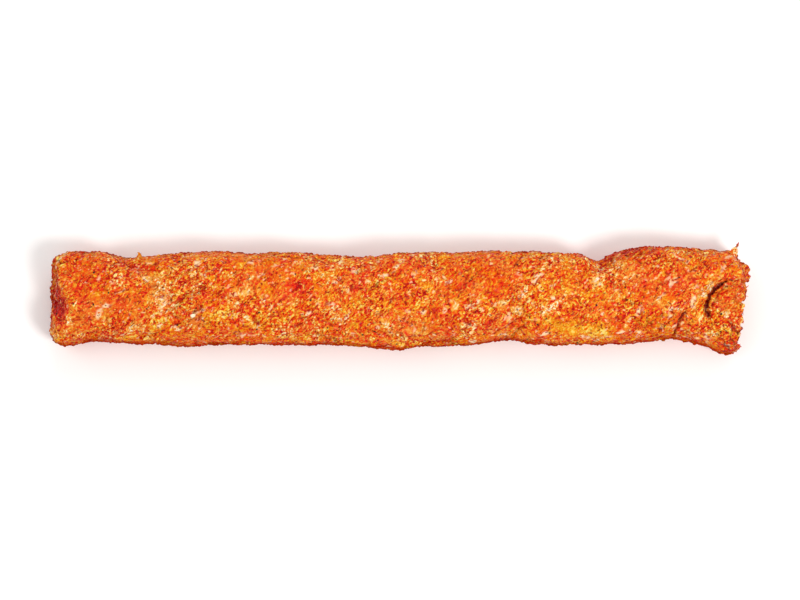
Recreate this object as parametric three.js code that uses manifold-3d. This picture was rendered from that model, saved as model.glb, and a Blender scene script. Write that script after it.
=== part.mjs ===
// A kofta: one strip of raw, spiced minced meat, rolled by hand and laid on a board, with no stick in it.
// Sizes are in millimetres. X runs along the strip, Y across it and +Z up, and the origin is on the board
// under the middle of the strip. The -X end is cut nearly square, and the +X end is torn off and flares.

import * as THREE from "three";
import { mergeVertices } from "three/addons/utils/BufferGeometryUtils.js";
import Module from "manifold-3d";

// Driving sizes of the whole strip.
const LENGTH = 195; // between the two end faces, without the torn tips
const WIDTH = 25.8;
const HEIGHT = 19;
const WAIST_HEIGHT = 0.43 * HEIGHT; // where the section is widest
const SAG = 1.4; // how far the soft meat is pressed below the board line, where it is trimmed flat
const CROWN_SQUARENESS = 2.5; // 2 is an ellipse, and more is flatter on top with fuller shoulders
const BELLY_SQUARENESS = 2.7;
const END_ROUNDING = 3; // radius between the sides and an end face

// How finely the skin is divided.
const AROUND = 44;
const BODY_RINGS = 106;
const ROUNDING_RINGS = 3;
const FACE_RINGS = 5;
const END_CROWDING = 0.5; // under 1: how much closer the rings lie towards the ends, where 0 is evenly spaced

// Relief of the minced meat: broad lumps from rolling, and coarse grains that stand out of the skin.
const LUMP_SIZE = 13;
const LUMP_HEIGHT = 0.55;
const KNEAD_SIZE = 6.5;
const KNEAD_HEIGHT = 0.32;
const GRAIN_SIZE = 4.6;
const GRAIN_HEIGHT = 0.75;
const GRAIN_MEAN = 0.5; // a grain's mean height, which is taken off so that grains don't swell the strip

// Swells (by > 0) and dents (by < 0) that fingers left along each side, at places on X and fading over reach.
const FAR_SIDE = [
  { at: -90, by: 0.5, reach: 7 },
  { at: -75, by: -1.4, reach: 7 },
  { at: -44, by: -0.4, reach: 16 },
  { at: -26, by: -0.4, reach: 8 },
  { at: -8, by: -1.3, reach: 12 },
  { at: 34, by: -0.2, reach: 14 },
  { at: 49, by: -0.7, reach: 7 },
  { at: 56.4, by: -1.9, reach: 2.8 },
  { at: 60.2, by: -0.6, reach: 3.5 },
  { at: 75.5, by: 2.0, reach: 12 },
  { at: 97, by: 1.1, reach: 2.5 },
];
const NEAR_SIDE = [
  { at: -96, by: 0.7, reach: 4 },
  { at: -86, by: -1.0, reach: 7 },
  { at: -72, by: -0.5, reach: 6 },
  { at: -58, by: 0.4, reach: 9 },
  { at: -26, by: 0.1, reach: 10 },
  { at: -4, by: 1.0, reach: 13 },
  { at: 31, by: -1.3, reach: 6 },
  { at: 52, by: -0.3, reach: 10 },
  { at: 75, by: -1.4, reach: 8 },
  { at: 95, by: 2.9, reach: 6.6 },
];
const CROWN = [
  { at: -93, by: -0.9, reach: 9 },
  { at: -52, by: 0.5, reach: 14 },
  { at: -19, by: -0.6, reach: 11 },
  { at: 22, by: 0.5, reach: 16 },
  { at: 57, by: -1.1, reach: 7 },
  { at: 77, by: 0.7, reach: 12 },
  { at: 98, by: -1.2, reach: 8 },
];

// Tongues of meat that stand out of an end face (out > 0) and hollows in it (out < 0).
const TEAR_DEPTH = 9; // how far back from an end face its tongues pull the skin
const RAG_SIZE = 3.6; // the small rags of meat all over an end face
const RAG_LENGTH = 0.9;
const CUT_END = [
  { y: 5, z: 19, out: -1.7, reach: 8 },
  { y: -3.5, z: 16.5, out: -3.8, reach: 4.2 },
  { y: 5, z: 3, out: 2.3, reach: 8 },
  { y: -9.5, z: 9, out: 1.9, reach: 5 },
];
const TORN_END = [
  { y: 6.8, z: 9, out: 2.9, reach: 2.6 },
  { y: 0.8, z: 11, out: 0.7, reach: 2.8 },
  { y: 11.5, z: 11, out: -3.0, reach: 3.6 },
  { y: -2.6, z: 12, out: -1.3, reach: 2 },
  { y: -9.5, z: 9, out: -4.0, reach: 7 },
  { y: -13, z: 7, out: 2.2, reach: 2.4 },
];

// The flap of meat folded over at the torn end: a raised round patch with a groove along its inner rim.
const FLAP = { x: 94.8, y: -5.4, radius: 9.1, rim: 2.5, lift: 0.9 };
const FLAP_GROOVE = { from: 70, to: 190, fade: 25, depth: 1.7, width: 1.9 }; // degrees round the flap from +X

// Straight creases in the upper skin.
const CREASES = [
  { x0: 55.6, y0: 12, x1: 60, y1: 6.5, depth: 1.3, width: 1.8 },
  { x0: 78, y0: -13, x1: 81.5, y1: -6.5, depth: 1.1, width: 1.7 },
  { x0: -79, y0: 10.5, x1: -69, y1: 6.5, depth: 1.0, width: 1.8 },
  { x0: 30, y0: -13, x1: 34, y1: -8, depth: 0.8, width: 1.8 },
];

// Creases and the flap are only in the upper skin: they fade out between these upward parts of its normal.
const UPPER_SKIN = { from: -0.3, full: 0.4 };

const BOARD_DEPTH = 20; // thickness of the block that trims the underside
const MEAT_COLOUR = "#e8772e"; // lean meat and fat with paprika

const half = (size) => size / 2;
const radians = (degrees) => (degrees * Math.PI) / 180;

// 0 before a, 1 after b, and a smooth rise between them.
function rise(a, b, value) {
  const t = Math.min(1, Math.max(0, (value - a) / (b - a)));
  return t * t * (3 - 2 * t);
}

// 1 in the middle of a feature, fading to nothing a little past its reach.
function fade(distance, reach) {
  return Math.exp(-((distance / reach) ** 2));
}

// A repeatable number from 0 to 1 for one cell of a lattice.
function cellRandom(ix, iy, iz, channel) {
  let h = Math.imul(ix, 0x27d4eb2d) ^ Math.imul(iy, 0x165667b1) ^ Math.imul(iz, 0x1b873593);
  h = Math.imul(h ^ Math.imul(channel + 1, 0x9e3779b1), 0x85ebca6b);
  h = Math.imul(h ^ (h >>> 13), 0xc2b2ae35);
  return ((h ^ (h >>> 16)) >>> 0) / 0xffffffff;
}

// The noises and the grains each draw from a channel of their own, and a grain's place takes three.
const LUMP_CHANNEL = 0;
const KNEAD_CHANNEL = 1;
const RAG_CHANNEL = 2;
const GRAIN_CHANNEL = 4;

// Smooth noise from -1 to 1 with features one unit wide.
function noise(p, channel) {
  const base = [Math.floor(p.x), Math.floor(p.y), Math.floor(p.z)];
  const t = [p.x - base[0], p.y - base[1], p.z - base[2]].map((f) => f * f * (3 - 2 * f));
  let sum = 0;
  for (let corner = 0; corner < 8; corner++) {
    const step = [corner & 1, (corner >> 1) & 1, corner >> 2];
    const weight = step.reduce((w, s, i) => w * (s ? t[i] : 1 - t[i]), 1);
    sum += weight * cellRandom(base[0] + step[0], base[1] + step[1], base[2] + step[2], channel);
  }
  return 2 * sum - 1;
}

// The round top of the nearest grain: 1 at its middle and 0 at its rim, for grains one unit apart.
function grainTop(p) {
  const base = [Math.floor(p.x), Math.floor(p.y), Math.floor(p.z)];
  let nearest = Infinity;
  for (let i = 0; i < 27; i++) {
    const step = [i % 3, Math.floor(i / 3) % 3, Math.floor(i / 9)];
    const cell = base.map((b, axis) => b + step[axis] - 1);
    const grain = cell.map((c, axis) => c + cellRandom(...cell, axis + GRAIN_CHANNEL));
    nearest = Math.min(nearest, Math.hypot(p.x - grain[0], p.y - grain[1], p.z - grain[2]));
  }
  return 1 - Math.min(1, nearest ** 2);
}

function sumOf(features, x) {
  return features.reduce((sum, f) => sum + f.by * fade(x - f.at, f.reach), 0);
}

// The strip's section at x: half widths to each side, and the height of its crown.
function sectionAt(x) {
  return {
    far: half(WIDTH) + sumOf(FAR_SIDE, x),
    near: half(WIDTH) + sumOf(NEAR_SIDE, x),
    crown: HEIGHT + sumOf(CROWN, x),
  };
}

// A point of the smooth strip, at an angle round the section, drawn in towards the section's middle by share.
function skinPoint(x, angle, share) {
  const section = sectionAt(x);
  const c = Math.cos(angle);
  const s = Math.sin(angle);
  const squareness = s > 0 ? CROWN_SQUARENESS : BELLY_SQUARENESS;
  const r = (Math.abs(c) ** squareness + Math.abs(s) ** squareness) ** (-1 / squareness);
  const y = c * r * (c > 0 ? section.far : section.near);
  const z = WAIST_HEIGHT + s * r * (s > 0 ? section.crown - WAIST_HEIGHT : WAIST_HEIGHT + SAG);
  const middle = half(HEIGHT - SAG);
  return new THREE.Vector3(x, y * share, middle + (z - middle) * share);
}

// The rings of the skin from one end face's middle to the other: each has a place on X and its share of the
// full section.
function rings() {
  const shareAfter = (inset) => 1 - inset / half(WIDTH);
  const quarter = [];
  for (let i = 1; i < FACE_RINGS; i++) {
    quarter.push({ x: half(LENGTH), share: (shareAfter(END_ROUNDING) * i) / FACE_RINGS });
  }
  for (let i = ROUNDING_RINGS; i > 0; i--) {
    const turn = half(Math.PI) * (i / ROUNDING_RINGS);
    const x = half(LENGTH) - END_ROUNDING * (1 - Math.sin(turn));
    quarter.push({ x, share: shareAfter(END_ROUNDING * (1 - Math.cos(turn))) });
  }
  const straight = half(LENGTH) - END_ROUNDING;
  const crowding = half(Math.PI) * END_CROWDING;
  const body = [];
  for (let i = 0; i <= BODY_RINGS; i++) {
    const along = (2 * i) / BODY_RINGS - 1;
    body.push({ x: (straight * Math.sin(crowding * along)) / Math.sin(crowding), share: 1 });
  }
  const mirrored = quarter.map((ring) => ({ x: -ring.x, share: ring.share }));
  return [...mirrored, ...body, ...quarter.reverse()];
}

// The smooth strip as one closed skin: rings of AROUND points, and one point in the middle of each end face.
function smoothStrip() {
  const points = [skinPoint(-half(LENGTH), 0, 0)];
  const faces = [];
  const all = rings();
  for (const ring of all) {
    for (let j = 0; j < AROUND; j++) {
      points.push(skinPoint(ring.x, (2 * Math.PI * j) / AROUND, ring.share));
    }
  }
  points.push(skinPoint(half(LENGTH), 0, 0));
  const at = (ring, j) => 1 + ring * AROUND + (j % AROUND);
  const last = all.length - 1;
  for (let j = 0; j < AROUND; j++) {
    faces.push(0, at(0, j + 1), at(0, j), points.length - 1, at(last, j), at(last, j + 1));
    for (let i = 0; i < last; i++) {
      faces.push(at(i, j), at(i, j + 1), at(i + 1, j + 1), at(i, j), at(i + 1, j + 1), at(i + 1, j));
    }
  }
  const skin = new THREE.BufferGeometry().setFromPoints(points);
  skin.setIndex(faces);
  skin.computeVertexNormals();
  return skin;
}

// How far the tongues and hollows of an end face move a point along X.
function tear(p) {
  const features = p.x > 0 ? TORN_END : CUT_END;
  const rags = RAG_LENGTH * noise(p.clone().divideScalar(RAG_SIZE), RAG_CHANNEL);
  const tongue = (f) => f.out * fade(Math.hypot(p.y - f.y, p.z - f.z), f.reach);
  const out = features.reduce((sum, f) => sum + tongue(f), rags);
  return Math.sign(p.x) * out * rise(half(LENGTH) - TEAR_DEPTH, half(LENGTH), Math.abs(p.x));
}

// Distance in plan from a point to a straight crease.
function distanceTo(crease, p) {
  const start = new THREE.Vector3(crease.x0, crease.y0, 0);
  const end = new THREE.Vector3(crease.x1, crease.y1, 0);
  const inPlan = new THREE.Vector3(p.x, p.y, 0);
  const nearest = new THREE.Line3(start, end).closestPointToPoint(inPlan, true, new THREE.Vector3());
  return nearest.distanceTo(inPlan);
}

// The folded flap's lift, less the groove round its inner rim.
function flapRelief(p) {
  const distance = Math.hypot(p.x - FLAP.x, p.y - FLAP.y);
  const bearing = Math.atan2(p.y - FLAP.y, p.x - FLAP.x);
  const turned = (bearing + 2 * Math.PI) % (2 * Math.PI);
  const starts = rise(radians(FLAP_GROOVE.from - FLAP_GROOVE.fade), radians(FLAP_GROOVE.from), turned);
  const ends = rise(radians(FLAP_GROOVE.to), radians(FLAP_GROOVE.to + FLAP_GROOVE.fade), turned);
  const groove = FLAP_GROOVE.depth * fade(distance - FLAP.radius, FLAP_GROOVE.width) * starts * (1 - ends);
  return FLAP.lift * (1 - rise(FLAP.radius - FLAP.rim, FLAP.radius, distance)) - groove;
}

// Height of the relief at a point of the smooth skin whose normal is given.
function relief(p, normal) {
  const lumps = LUMP_HEIGHT * noise(p.clone().divideScalar(LUMP_SIZE), LUMP_CHANNEL);
  const kneading = KNEAD_HEIGHT * noise(p.clone().divideScalar(KNEAD_SIZE), KNEAD_CHANNEL);
  const grains = GRAIN_HEIGHT * (grainTop(p.clone().divideScalar(GRAIN_SIZE)) - GRAIN_MEAN);
  const creases = CREASES.reduce((sum, c) => sum - c.depth * fade(distanceTo(c, p), c.width), 0);
  const upper = rise(UPPER_SKIN.from, UPPER_SKIN.full, normal.z);
  return lumps + kneading + grains + upper * (creases + flapRelief(p));
}

// The strip with its relief and torn ends.
function roughStrip() {
  const skin = smoothStrip();
  const position = skin.getAttribute("position");
  const p = new THREE.Vector3();
  const normal = new THREE.Vector3();
  for (let i = 0; i < position.count; i++) {
    p.fromBufferAttribute(position, i);
    normal.fromBufferAttribute(skin.getAttribute("normal"), i);
    const height = relief(p, normal);
    const along = tear(p);
    p.addScaledVector(normal, height);
    p.x += along;
    position.setXYZ(i, p.x, p.y, p.z);
  }
  return skin;
}

// A closed geometry as a manifold-3d solid.
function solidOf(wasm, geometry) {
  const bare = geometry.clone();
  bare.deleteAttribute("normal");
  bare.deleteAttribute("uv");
  const merged = mergeVertices(bare);
  return new wasm.Manifold(
    new wasm.Mesh({
      numProp: 3,
      vertProperties: merged.getAttribute("position").array,
      triVerts: new Uint32Array(merged.index.array),
    }),
  );
}

// A manifold-3d solid as a three.js geometry.
function geometryOf(solid) {
  const { vertProperties, triVerts } = solid.getMesh();
  const geometry = new THREE.BufferGeometry();
  geometry.setAttribute("position", new THREE.BufferAttribute(vertProperties, 3));
  geometry.setIndex(new THREE.BufferAttribute(triVerts, 1));
  geometry.computeVertexNormals();
  return geometry;
}

// The strip trimmed flat where it lies on the board, with its outline centred on the origin.
function makeKofta(wasm) {
  const board = new THREE.BoxGeometry(2 * LENGTH, 4 * WIDTH, BOARD_DEPTH);
  board.translate(0, 0, -half(BOARD_DEPTH));
  const laid = solidOf(wasm, roughStrip()).subtract(solidOf(wasm, board));
  const mincedMeat = new THREE.MeshStandardMaterial({ color: MEAT_COLOUR, roughness: 0.45, metalness: 0 });
  const mesh = new THREE.Mesh(geometryOf(laid), mincedMeat);
  mesh.name = "kofta";
  mesh.geometry.computeBoundingBox();
  const middle = mesh.geometry.boundingBox.getCenter(new THREE.Vector3());
  mesh.position.set(-middle.x, -middle.y, 0);
  return mesh;
}

const wasm = await Module();
wasm.setup();

const kofta = new THREE.Group();
kofta.add(makeKofta(wasm));

export default kofta;
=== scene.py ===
"""A raw kofta: one strip of spiced minced meat, rolled by hand, with a cut end and a torn end.

The strip is one piece of soft, moist mince. Its form comes from the frame's solid. Rags of meat are pressed
into its torn end, and then the skin gets the creases, grains, cracks and pits of mince. Grains of meat,
flecks of fat, lean shreds, torn fibres and ground spices lie in that skin as pieces of their own.

X runs along the strip towards its torn end, Y across it and +Z up. Sizes are in millimetres and become
Blender's metres through mm().
"""

import logging
import math
from dataclasses import dataclass
from enum import Enum
from typing import Any

import bmesh
import bpy
import numpy as np
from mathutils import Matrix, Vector


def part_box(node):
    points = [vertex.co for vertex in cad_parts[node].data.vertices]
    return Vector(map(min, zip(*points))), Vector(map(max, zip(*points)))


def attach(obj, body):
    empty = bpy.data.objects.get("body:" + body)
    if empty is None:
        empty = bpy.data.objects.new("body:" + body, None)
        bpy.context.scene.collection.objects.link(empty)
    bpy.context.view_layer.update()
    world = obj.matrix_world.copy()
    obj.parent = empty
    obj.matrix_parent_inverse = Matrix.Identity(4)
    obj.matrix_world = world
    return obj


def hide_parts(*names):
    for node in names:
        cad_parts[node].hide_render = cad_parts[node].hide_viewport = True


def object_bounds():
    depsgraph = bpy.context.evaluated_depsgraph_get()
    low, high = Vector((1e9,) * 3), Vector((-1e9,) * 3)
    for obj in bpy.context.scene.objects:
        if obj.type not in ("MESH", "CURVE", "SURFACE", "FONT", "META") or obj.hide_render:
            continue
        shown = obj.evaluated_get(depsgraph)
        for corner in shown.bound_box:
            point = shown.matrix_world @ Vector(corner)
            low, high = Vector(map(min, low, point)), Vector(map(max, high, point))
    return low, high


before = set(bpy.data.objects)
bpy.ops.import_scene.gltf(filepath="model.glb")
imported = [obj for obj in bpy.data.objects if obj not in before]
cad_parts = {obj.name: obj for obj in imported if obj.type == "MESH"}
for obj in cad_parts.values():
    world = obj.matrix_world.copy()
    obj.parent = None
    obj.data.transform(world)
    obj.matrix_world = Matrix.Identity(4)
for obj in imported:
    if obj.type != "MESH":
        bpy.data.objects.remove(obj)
CAD_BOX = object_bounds()

NODE = "kofta"
BODY = "root"
STRIP_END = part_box(NODE)[1].x
REST = "rest"  # attribute with each point's place before the relief, which the patterns are laid on
HOLLOW = "hollow"  # attribute in millimetres, above 0 in a crevice and below 0 on a grain
CREASE_SHADE = "crease"  # attribute from 0 to 1 with the painted shade at the bottom of a crease
LIGHTER = "lighter"  # attribute that is added to the tone of the mince, and that also carries painted shade
MILKIER = "milkier"  # attribute from -1 where the mince is oily to 1 where it is milky
TONE = "tone"  # attribute from 0 to 1 that gives each crumb a shade of its own
KNEADED = "kneaded"  # attribute from 0 to 1 where the mince is kneaded to a smooth paste
OUTWARD = "outward"  # attribute with the way that the smooth skin faces, which crumbs in it share
MIDDLE = 0.5  # of the values that a noise or a cell gives, which run from 0 to 1
MIDDLES = (MIDDLE, MIDDLE, MIDDLE)
TURN = 6.28  # a whole turn, in radians, for rotations drawn at random
LIFT = 0.05  # how far the meat is kept above the floor, in millimetres
MM_IN_METRE = 1000.0
PLACES_TRIED = 2.0  # for each square as wide as the spacing, when bits are scattered

# The mince's colours by tone, from its leanest grains to its fattest, where it is oily and where it is milky.
OILY = (
    (0.08, "#a40703"),
    (0.22, "#db1703"),
    (0.37, "#e04403"),
    (0.52, "#e36b05"),
    (0.67, "#e68d0b"),
    (0.82, "#ecb22c"),
    (0.97, "#f4d46c"),
)
MILKY = (
    (0.08, "#a80b05"),
    (0.22, "#dd1d0b"),
    (0.37, "#e14711"),
    (0.52, "#e36d1f"),
    (0.67, "#e68f2f"),
    (0.82, "#eeb55c"),
    (0.97, "#f8e6c4"),
)

log = logging.getLogger("kofta")


def mm(size: float) -> float:
    """Returns millimetres as metres."""
    return size * 0.001


def per_mm(size: float) -> float:
    """Returns the texture scale whose features are that many millimetres wide."""
    return 1.0 / mm(size)


def linear(colour: str) -> tuple[float, float, float, float]:
    """Turns an sRGB hex colour into a linear one.

    Args:
        colour: The colour, such as "#e8772e".

    Returns:
        Red, green, blue and an alpha of 1.
    """
    channels = [int(colour[i : i + 2], 16) / 255.0 for i in (1, 3, 5)]
    red, green, blue = (c / 12.92 if c <= 0.04045 else ((c + 0.055) / 1.055) ** 2.4 for c in channels)
    return red, green, blue, 1.0


def add(tree: bpy.types.NodeTree, kind: str, links: dict[Any, Any] | None = None, **settings: Any) -> Any:
    """Adds a node with its settings and its links.

    Args:
        tree: The node tree that it goes into.
        kind: Blender's name for the kind of node.
        links: For an input's name or number, the node or socket that feeds it, or the value that it holds.
        settings: Values of the node's properties. stops holds a colour ramp's places and hex colours.

    Returns:
        The new node.
    """
    node = tree.nodes.new(kind)
    stops = settings.pop("stops", ())
    for name, value in settings.items():
        setattr(node, name, value)
    for place, colour in stops[2:]:
        node.color_ramp.elements.new(place)
    for element, (place, colour) in zip(node.color_ramp.elements if stops else (), stops):
        element.position = place
        element.color = linear(colour)
    for key, value in (links or {}).items():
        named = [s for s in node.inputs if s.enabled and s.name == key]
        socket = node.inputs[key] if isinstance(key, int) else named[0]
        if isinstance(value, bpy.types.Node):
            value = next(s for s in value.outputs if s.enabled)
        if isinstance(value, bpy.types.NodeSocket):
            tree.links.new(value, socket)
        else:
            socket.default_value = value
    return node


def new_material(name: str) -> tuple[bpy.types.Material, bpy.types.NodeTree]:
    """Makes a material without nodes.

    Args:
        name: Its name.

    Returns:
        The material and its empty node tree.
    """
    material = bpy.data.materials.new(name)
    material.use_nodes = True
    material.node_tree.nodes.clear()
    return material, material.node_tree


class Where(Enum):
    """Where on the strip bits of meat and spice are scattered."""

    ALL_OVER = "all over"
    TORN_END = "torn end"


@dataclass(frozen=True)
class MincePattern:
    """Where the grains and strands of the mince lie: one pattern for both the relief and the colours.

    The meat came out of the mincer in strands that were rolled askew, so its grains are drawn out along a
    diagonal of the strip.
    """

    warp_size: float = 5.0
    warp_reach: float = 2.6
    strand_angle: float = 42.0  # degrees from +X
    strand_stretch: float = 0.76  # scale along the strands, so that a grain is 1 / 0.76 times as long as wide
    grain_size: float = 2.4
    fine_size: float = 1.2
    grit_size: float = 0.7
    dust_size: float = 0.62
    strand_size: float = 0.9
    knead_size: float = 11.0
    smoothest: float = 0.36  # noise up to which the mince is kneaded smooth
    grainiest: float = 0.64  # noise from which it is all grains

    def lay(self, tree: bpy.types.NodeTree, place: Any) -> Any:
        """Bends a place on the smooth skin along the strands of mince.

        Args:
            tree: A material's or a geometry's node tree.
            place: The node or socket that gives the place.

        Returns:
            The node that gives the bent place, in which a grain is round.
        """
        bend = {"Vector": place, "Scale": per_mm(self.warp_size), "Detail": 2.0}
        noise = add(tree, "ShaderNodeTexNoise", bend).outputs["Color"]
        centred = add(tree, "ShaderNodeVectorMath", {0: noise, 1: MIDDLES}, operation="SUBTRACT")
        reach = (mm(self.warp_reach),) * 3
        pushed = add(tree, "ShaderNodeVectorMath", {0: centred, 1: reach, 2: place}, operation="MULTIPLY_ADD")
        turn = {"Vector": pushed, "Angle": math.radians(-self.strand_angle)}
        turned = add(tree, "ShaderNodeVectorRotate", turn, rotation_type="Z_AXIS")
        stretch = (self.strand_stretch, 1.0, 1.0)
        return add(tree, "ShaderNodeVectorMath", {0: turned, 1: stretch}, operation="MULTIPLY")

    def granular(self, tree: bpy.types.NodeTree, place: Any, least: float, most: float = 1.0) -> Any:
        """Works out how granular the mince is, since parts of it are kneaded to a smooth paste.

        Args:
            tree: A material's or a geometry's node tree.
            place: The node or socket that gives the place.
            least: The result where the mince is smoothest.
            most: The result where it is all grains.

        Returns:
            The node that gives the result.
        """
        wander = {"Vector": place, "Scale": per_mm(self.knead_size), "Detail": 4.0}
        noise = add(tree, "ShaderNodeTexNoise", wander)
        band = {"Value": noise, "From Min": self.smoothest, "From Max": self.grainiest}
        return add(tree, "ShaderNodeMapRange", band | {"To Min": least, "To Max": most})


class Recipe:
    """A Geometry Nodes tree with named inputs for its sizes, which ends in plain meshes with a material."""

    def __init__(self, name: str, sizes: dict[str, float]) -> None:
        """Starts the tree.

        Args:
            name: The tree's name.
            sizes: The name and value of each number that the tree takes.
        """
        self.sizes = sizes
        self.tree = bpy.data.node_groups.new(name, "GeometryNodeTree")
        interface = self.tree.interface
        interface.new_socket("Geometry", in_out="INPUT", socket_type="NodeSocketGeometry")
        for size in sizes:
            interface.new_socket(size, in_out="INPUT", socket_type="NodeSocketFloat")
        interface.new_socket("Geometry", in_out="OUTPUT", socket_type="NodeSocketGeometry")
        self.inputs = add(self.tree, "NodeGroupInput").outputs

    def finish(self, geometry: Any, material: bpy.types.Material) -> None:
        """Ends the tree.

        Args:
            geometry: The node or socket with the geometry that the tree has made.
            material: The material that all of it gets.
        """
        real = add(self.tree, "GeometryNodeRealizeInstances", {"Geometry": geometry})
        dressed = add(self.tree, "GeometryNodeSetMaterial", {"Geometry": real, "Material": material})
        add(self.tree, "NodeGroupOutput", {"Geometry": dressed})

    def scatter(self, where: Where, lowest: float, share: Any, seed: int) -> Any:
        """Scatters points over the skin, with the tree's Density and no nearer each other than its Spacing.

        Args:
            where: The part of the strip that they lie on. The torn end starts at the tree's End Place.
            lowest: The least height above the floor, in millimetres.
            share: The share of the points that is kept: a number, or the node or socket that gives it.
            seed: The seed of their places.

        Returns:
            The node that gives the points and how they are turned.
        """
        position = add(self.tree, "GeometryNodeInputPosition")
        place = add(self.tree, "ShaderNodeSeparateXYZ", {0: position}).outputs
        free = add(self.tree, "ShaderNodeMath", {0: place["Z"], 1: mm(lowest)}, operation="GREATER_THAN")
        if where is Where.TORN_END:
            past = {0: place["X"], 1: self.inputs["End Place"]}
            at_end = add(self.tree, "ShaderNodeMath", past, operation="GREATER_THAN")
            free = add(self.tree, "ShaderNodeMath", {0: free, 1: at_end}, operation="MULTIPLY")
        spread = {
            "Mesh": self.inputs["Geometry"],
            "Distance Min": self.inputs["Spacing"],
            "Density Max": self.inputs["Density"],
            "Density Factor": add(self.tree, "ShaderNodeMath", {0: free, 1: share}, operation="MULTIPLY"),
            "Seed": seed,
        }
        return add(self.tree, "GeometryNodeDistributePointsOnFaces", spread, distribute_method="POISSON")

    def tilted(self, points: Any, most: float, seed: int) -> Any:
        """Turns what stands on the points at random, and tilts it away from upright.

        Args:
            points: The node that gives the points.
            most: The largest tilt to each side, in radians.
            seed: The seed of the tilts.

        Returns:
            The node that gives the rotations.
        """
        tilts = {"Min": (-most, -most, 0.0), "Max": (most, most, TURN), "Seed": seed}
        tilt = add(self.tree, "FunctionNodeRandomValue", tilts, data_type="FLOAT_VECTOR")
        turn = {"Rotation": points.outputs["Rotation"], "Rotate By": tilt}
        return add(self.tree, "FunctionNodeRotateRotation", turn, rotation_space="LOCAL")

    def toned(self, instances: Any, seed: int) -> Any:
        """Gives each instance a random shade of its own.

        Args:
            instances: The node that gives the instances.
            seed: The seed of the shades.

        Returns:
            The node that gives the instances with their shades.
        """
        shade = add(self.tree, "FunctionNodeRandomValue", {"Seed": seed}, data_type="FLOAT")
        note = {"Geometry": instances, "Name": TONE, "Value": shade}
        return add(self.tree, "GeometryNodeStoreNamedAttribute", note, data_type="FLOAT", domain="INSTANCE")

    def put_on(self, piece: bpy.types.Object) -> None:
        """Adds the tree to an object as a modifier, with its sizes set by the sockets' identifiers.

        Args:
            piece: The object.
        """
        modifier = piece.modifiers.new(self.tree.name, "NODES")
        modifier.node_group = self.tree
        for item in self.tree.interface.items_tree:
            if item.in_out == "INPUT" and item.name in self.sizes:
                modifier[item.identifier] = float(self.sizes[item.name])


def new_piece(name: str, mesh: bpy.types.Mesh) -> bpy.types.Object:
    """Makes an object at the origin.

    Args:
        name: Its name.
        mesh: Its mesh.

    Returns:
        The object.
    """
    piece = bpy.data.objects.new(name, mesh)
    bpy.context.scene.collection.objects.link(piece)
    return piece


def baked(source: bpy.types.Object, name: str) -> bpy.types.Object:
    """Turns an object with live modifiers into a new object with a plain, smooth mesh.

    Args:
        source: The object, which is removed.
        name: The new object's name.

    Returns:
        The new object, at the origin.
    """
    bpy.context.view_layer.update()
    evaluated = source.evaluated_get(bpy.context.evaluated_depsgraph_get())
    mesh = bpy.data.meshes.new_from_object(evaluated)
    bpy.data.objects.remove(source)
    mesh.name = name
    mesh.shade_smooth()
    return new_piece(name, mesh)


def even_skin(piece: bpy.types.Object, voxel: float, passes: int) -> None:
    """Lays one even, smooth skin round all that an object's mesh holds, as live modifiers.

    Args:
        piece: The object.
        voxel: The width of the skin's faces, in millimetres.
        passes: How often it is smoothed.
    """
    remesh = piece.modifiers.new("even", "REMESH")
    remesh.mode = "VOXEL"
    remesh.voxel_size = mm(voxel)
    smooth = piece.modifiers.new("round", "SMOOTH")
    smooth.iterations = passes
    smooth.factor = 0.5


def settle(piece: bpy.types.Object) -> bpy.types.Object:
    """Makes a finished piece ride on the strip's body, and logs its triangles and size.

    Args:
        piece: The piece, with a plain mesh.

    Returns:
        The same piece.
    """
    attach(piece, BODY)
    triangles = sum(len(polygon.vertices) - 2 for polygon in piece.data.polygons)
    size = [round(MM_IN_METRE * side, 1) for side in piece.dimensions]
    log.info("%s: %d triangles, %s mm", piece.name, triangles, size)
    return piece


def weighed(tree: bpy.types.NodeTree, tone: Any, shares: list[tuple[Any, float]]) -> Any:
    """Adds patterns to a tone, each centred on 0.

    Args:
        tree: The material's node tree.
        tone: The tone so far: a number, or the node or socket that gives it.
        shares: The patterns, which run from 0 to 1, each with its share in the tone.

    Returns:
        The node that gives the new tone.
    """
    for source, share in shares:
        centred = add(tree, "ShaderNodeMath", {0: source, 1: MIDDLE}, operation="SUBTRACT")
        tone = add(tree, "ShaderNodeMath", {0: centred, 1: share, 2: tone}, operation="MULTIPLY_ADD")
    return tone


@dataclass(frozen=True)
class Fleck:
    """A kind of soft spot in the mince's colour. Each kind shows where a noise of its own is high."""

    colour: str
    size: float
    seed: float
    low: float  # the noise at which a spot starts to show
    high: float  # the noise from which it shows at full strength
    strength: float


FLECKS = (
    Fleck("#f6d8ac", 2.6, 0.0, 0.62, 0.74, 0.9),  # pieces of fat
    Fleck("#f6cc98", 1.17, 5.0, 0.62, 0.74, 0.75),  # crumbs of fat
    Fleck("#b41407", 1.82, 9.0, 0.6, 0.72, 0.75),  # lean meat
    Fleck("#980f04", 0.91, 13.0, 0.61, 0.73, 0.8),  # dark crumbs of lean meat
    Fleck("#7a1204", 0.624, 17.0, 0.6, 0.7, 0.85),  # paprika that has soaked in juice
    Fleck("#f3b84e", 0.624, 21.0, 0.6, 0.7, 0.8),  # drops of oil
)


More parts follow.
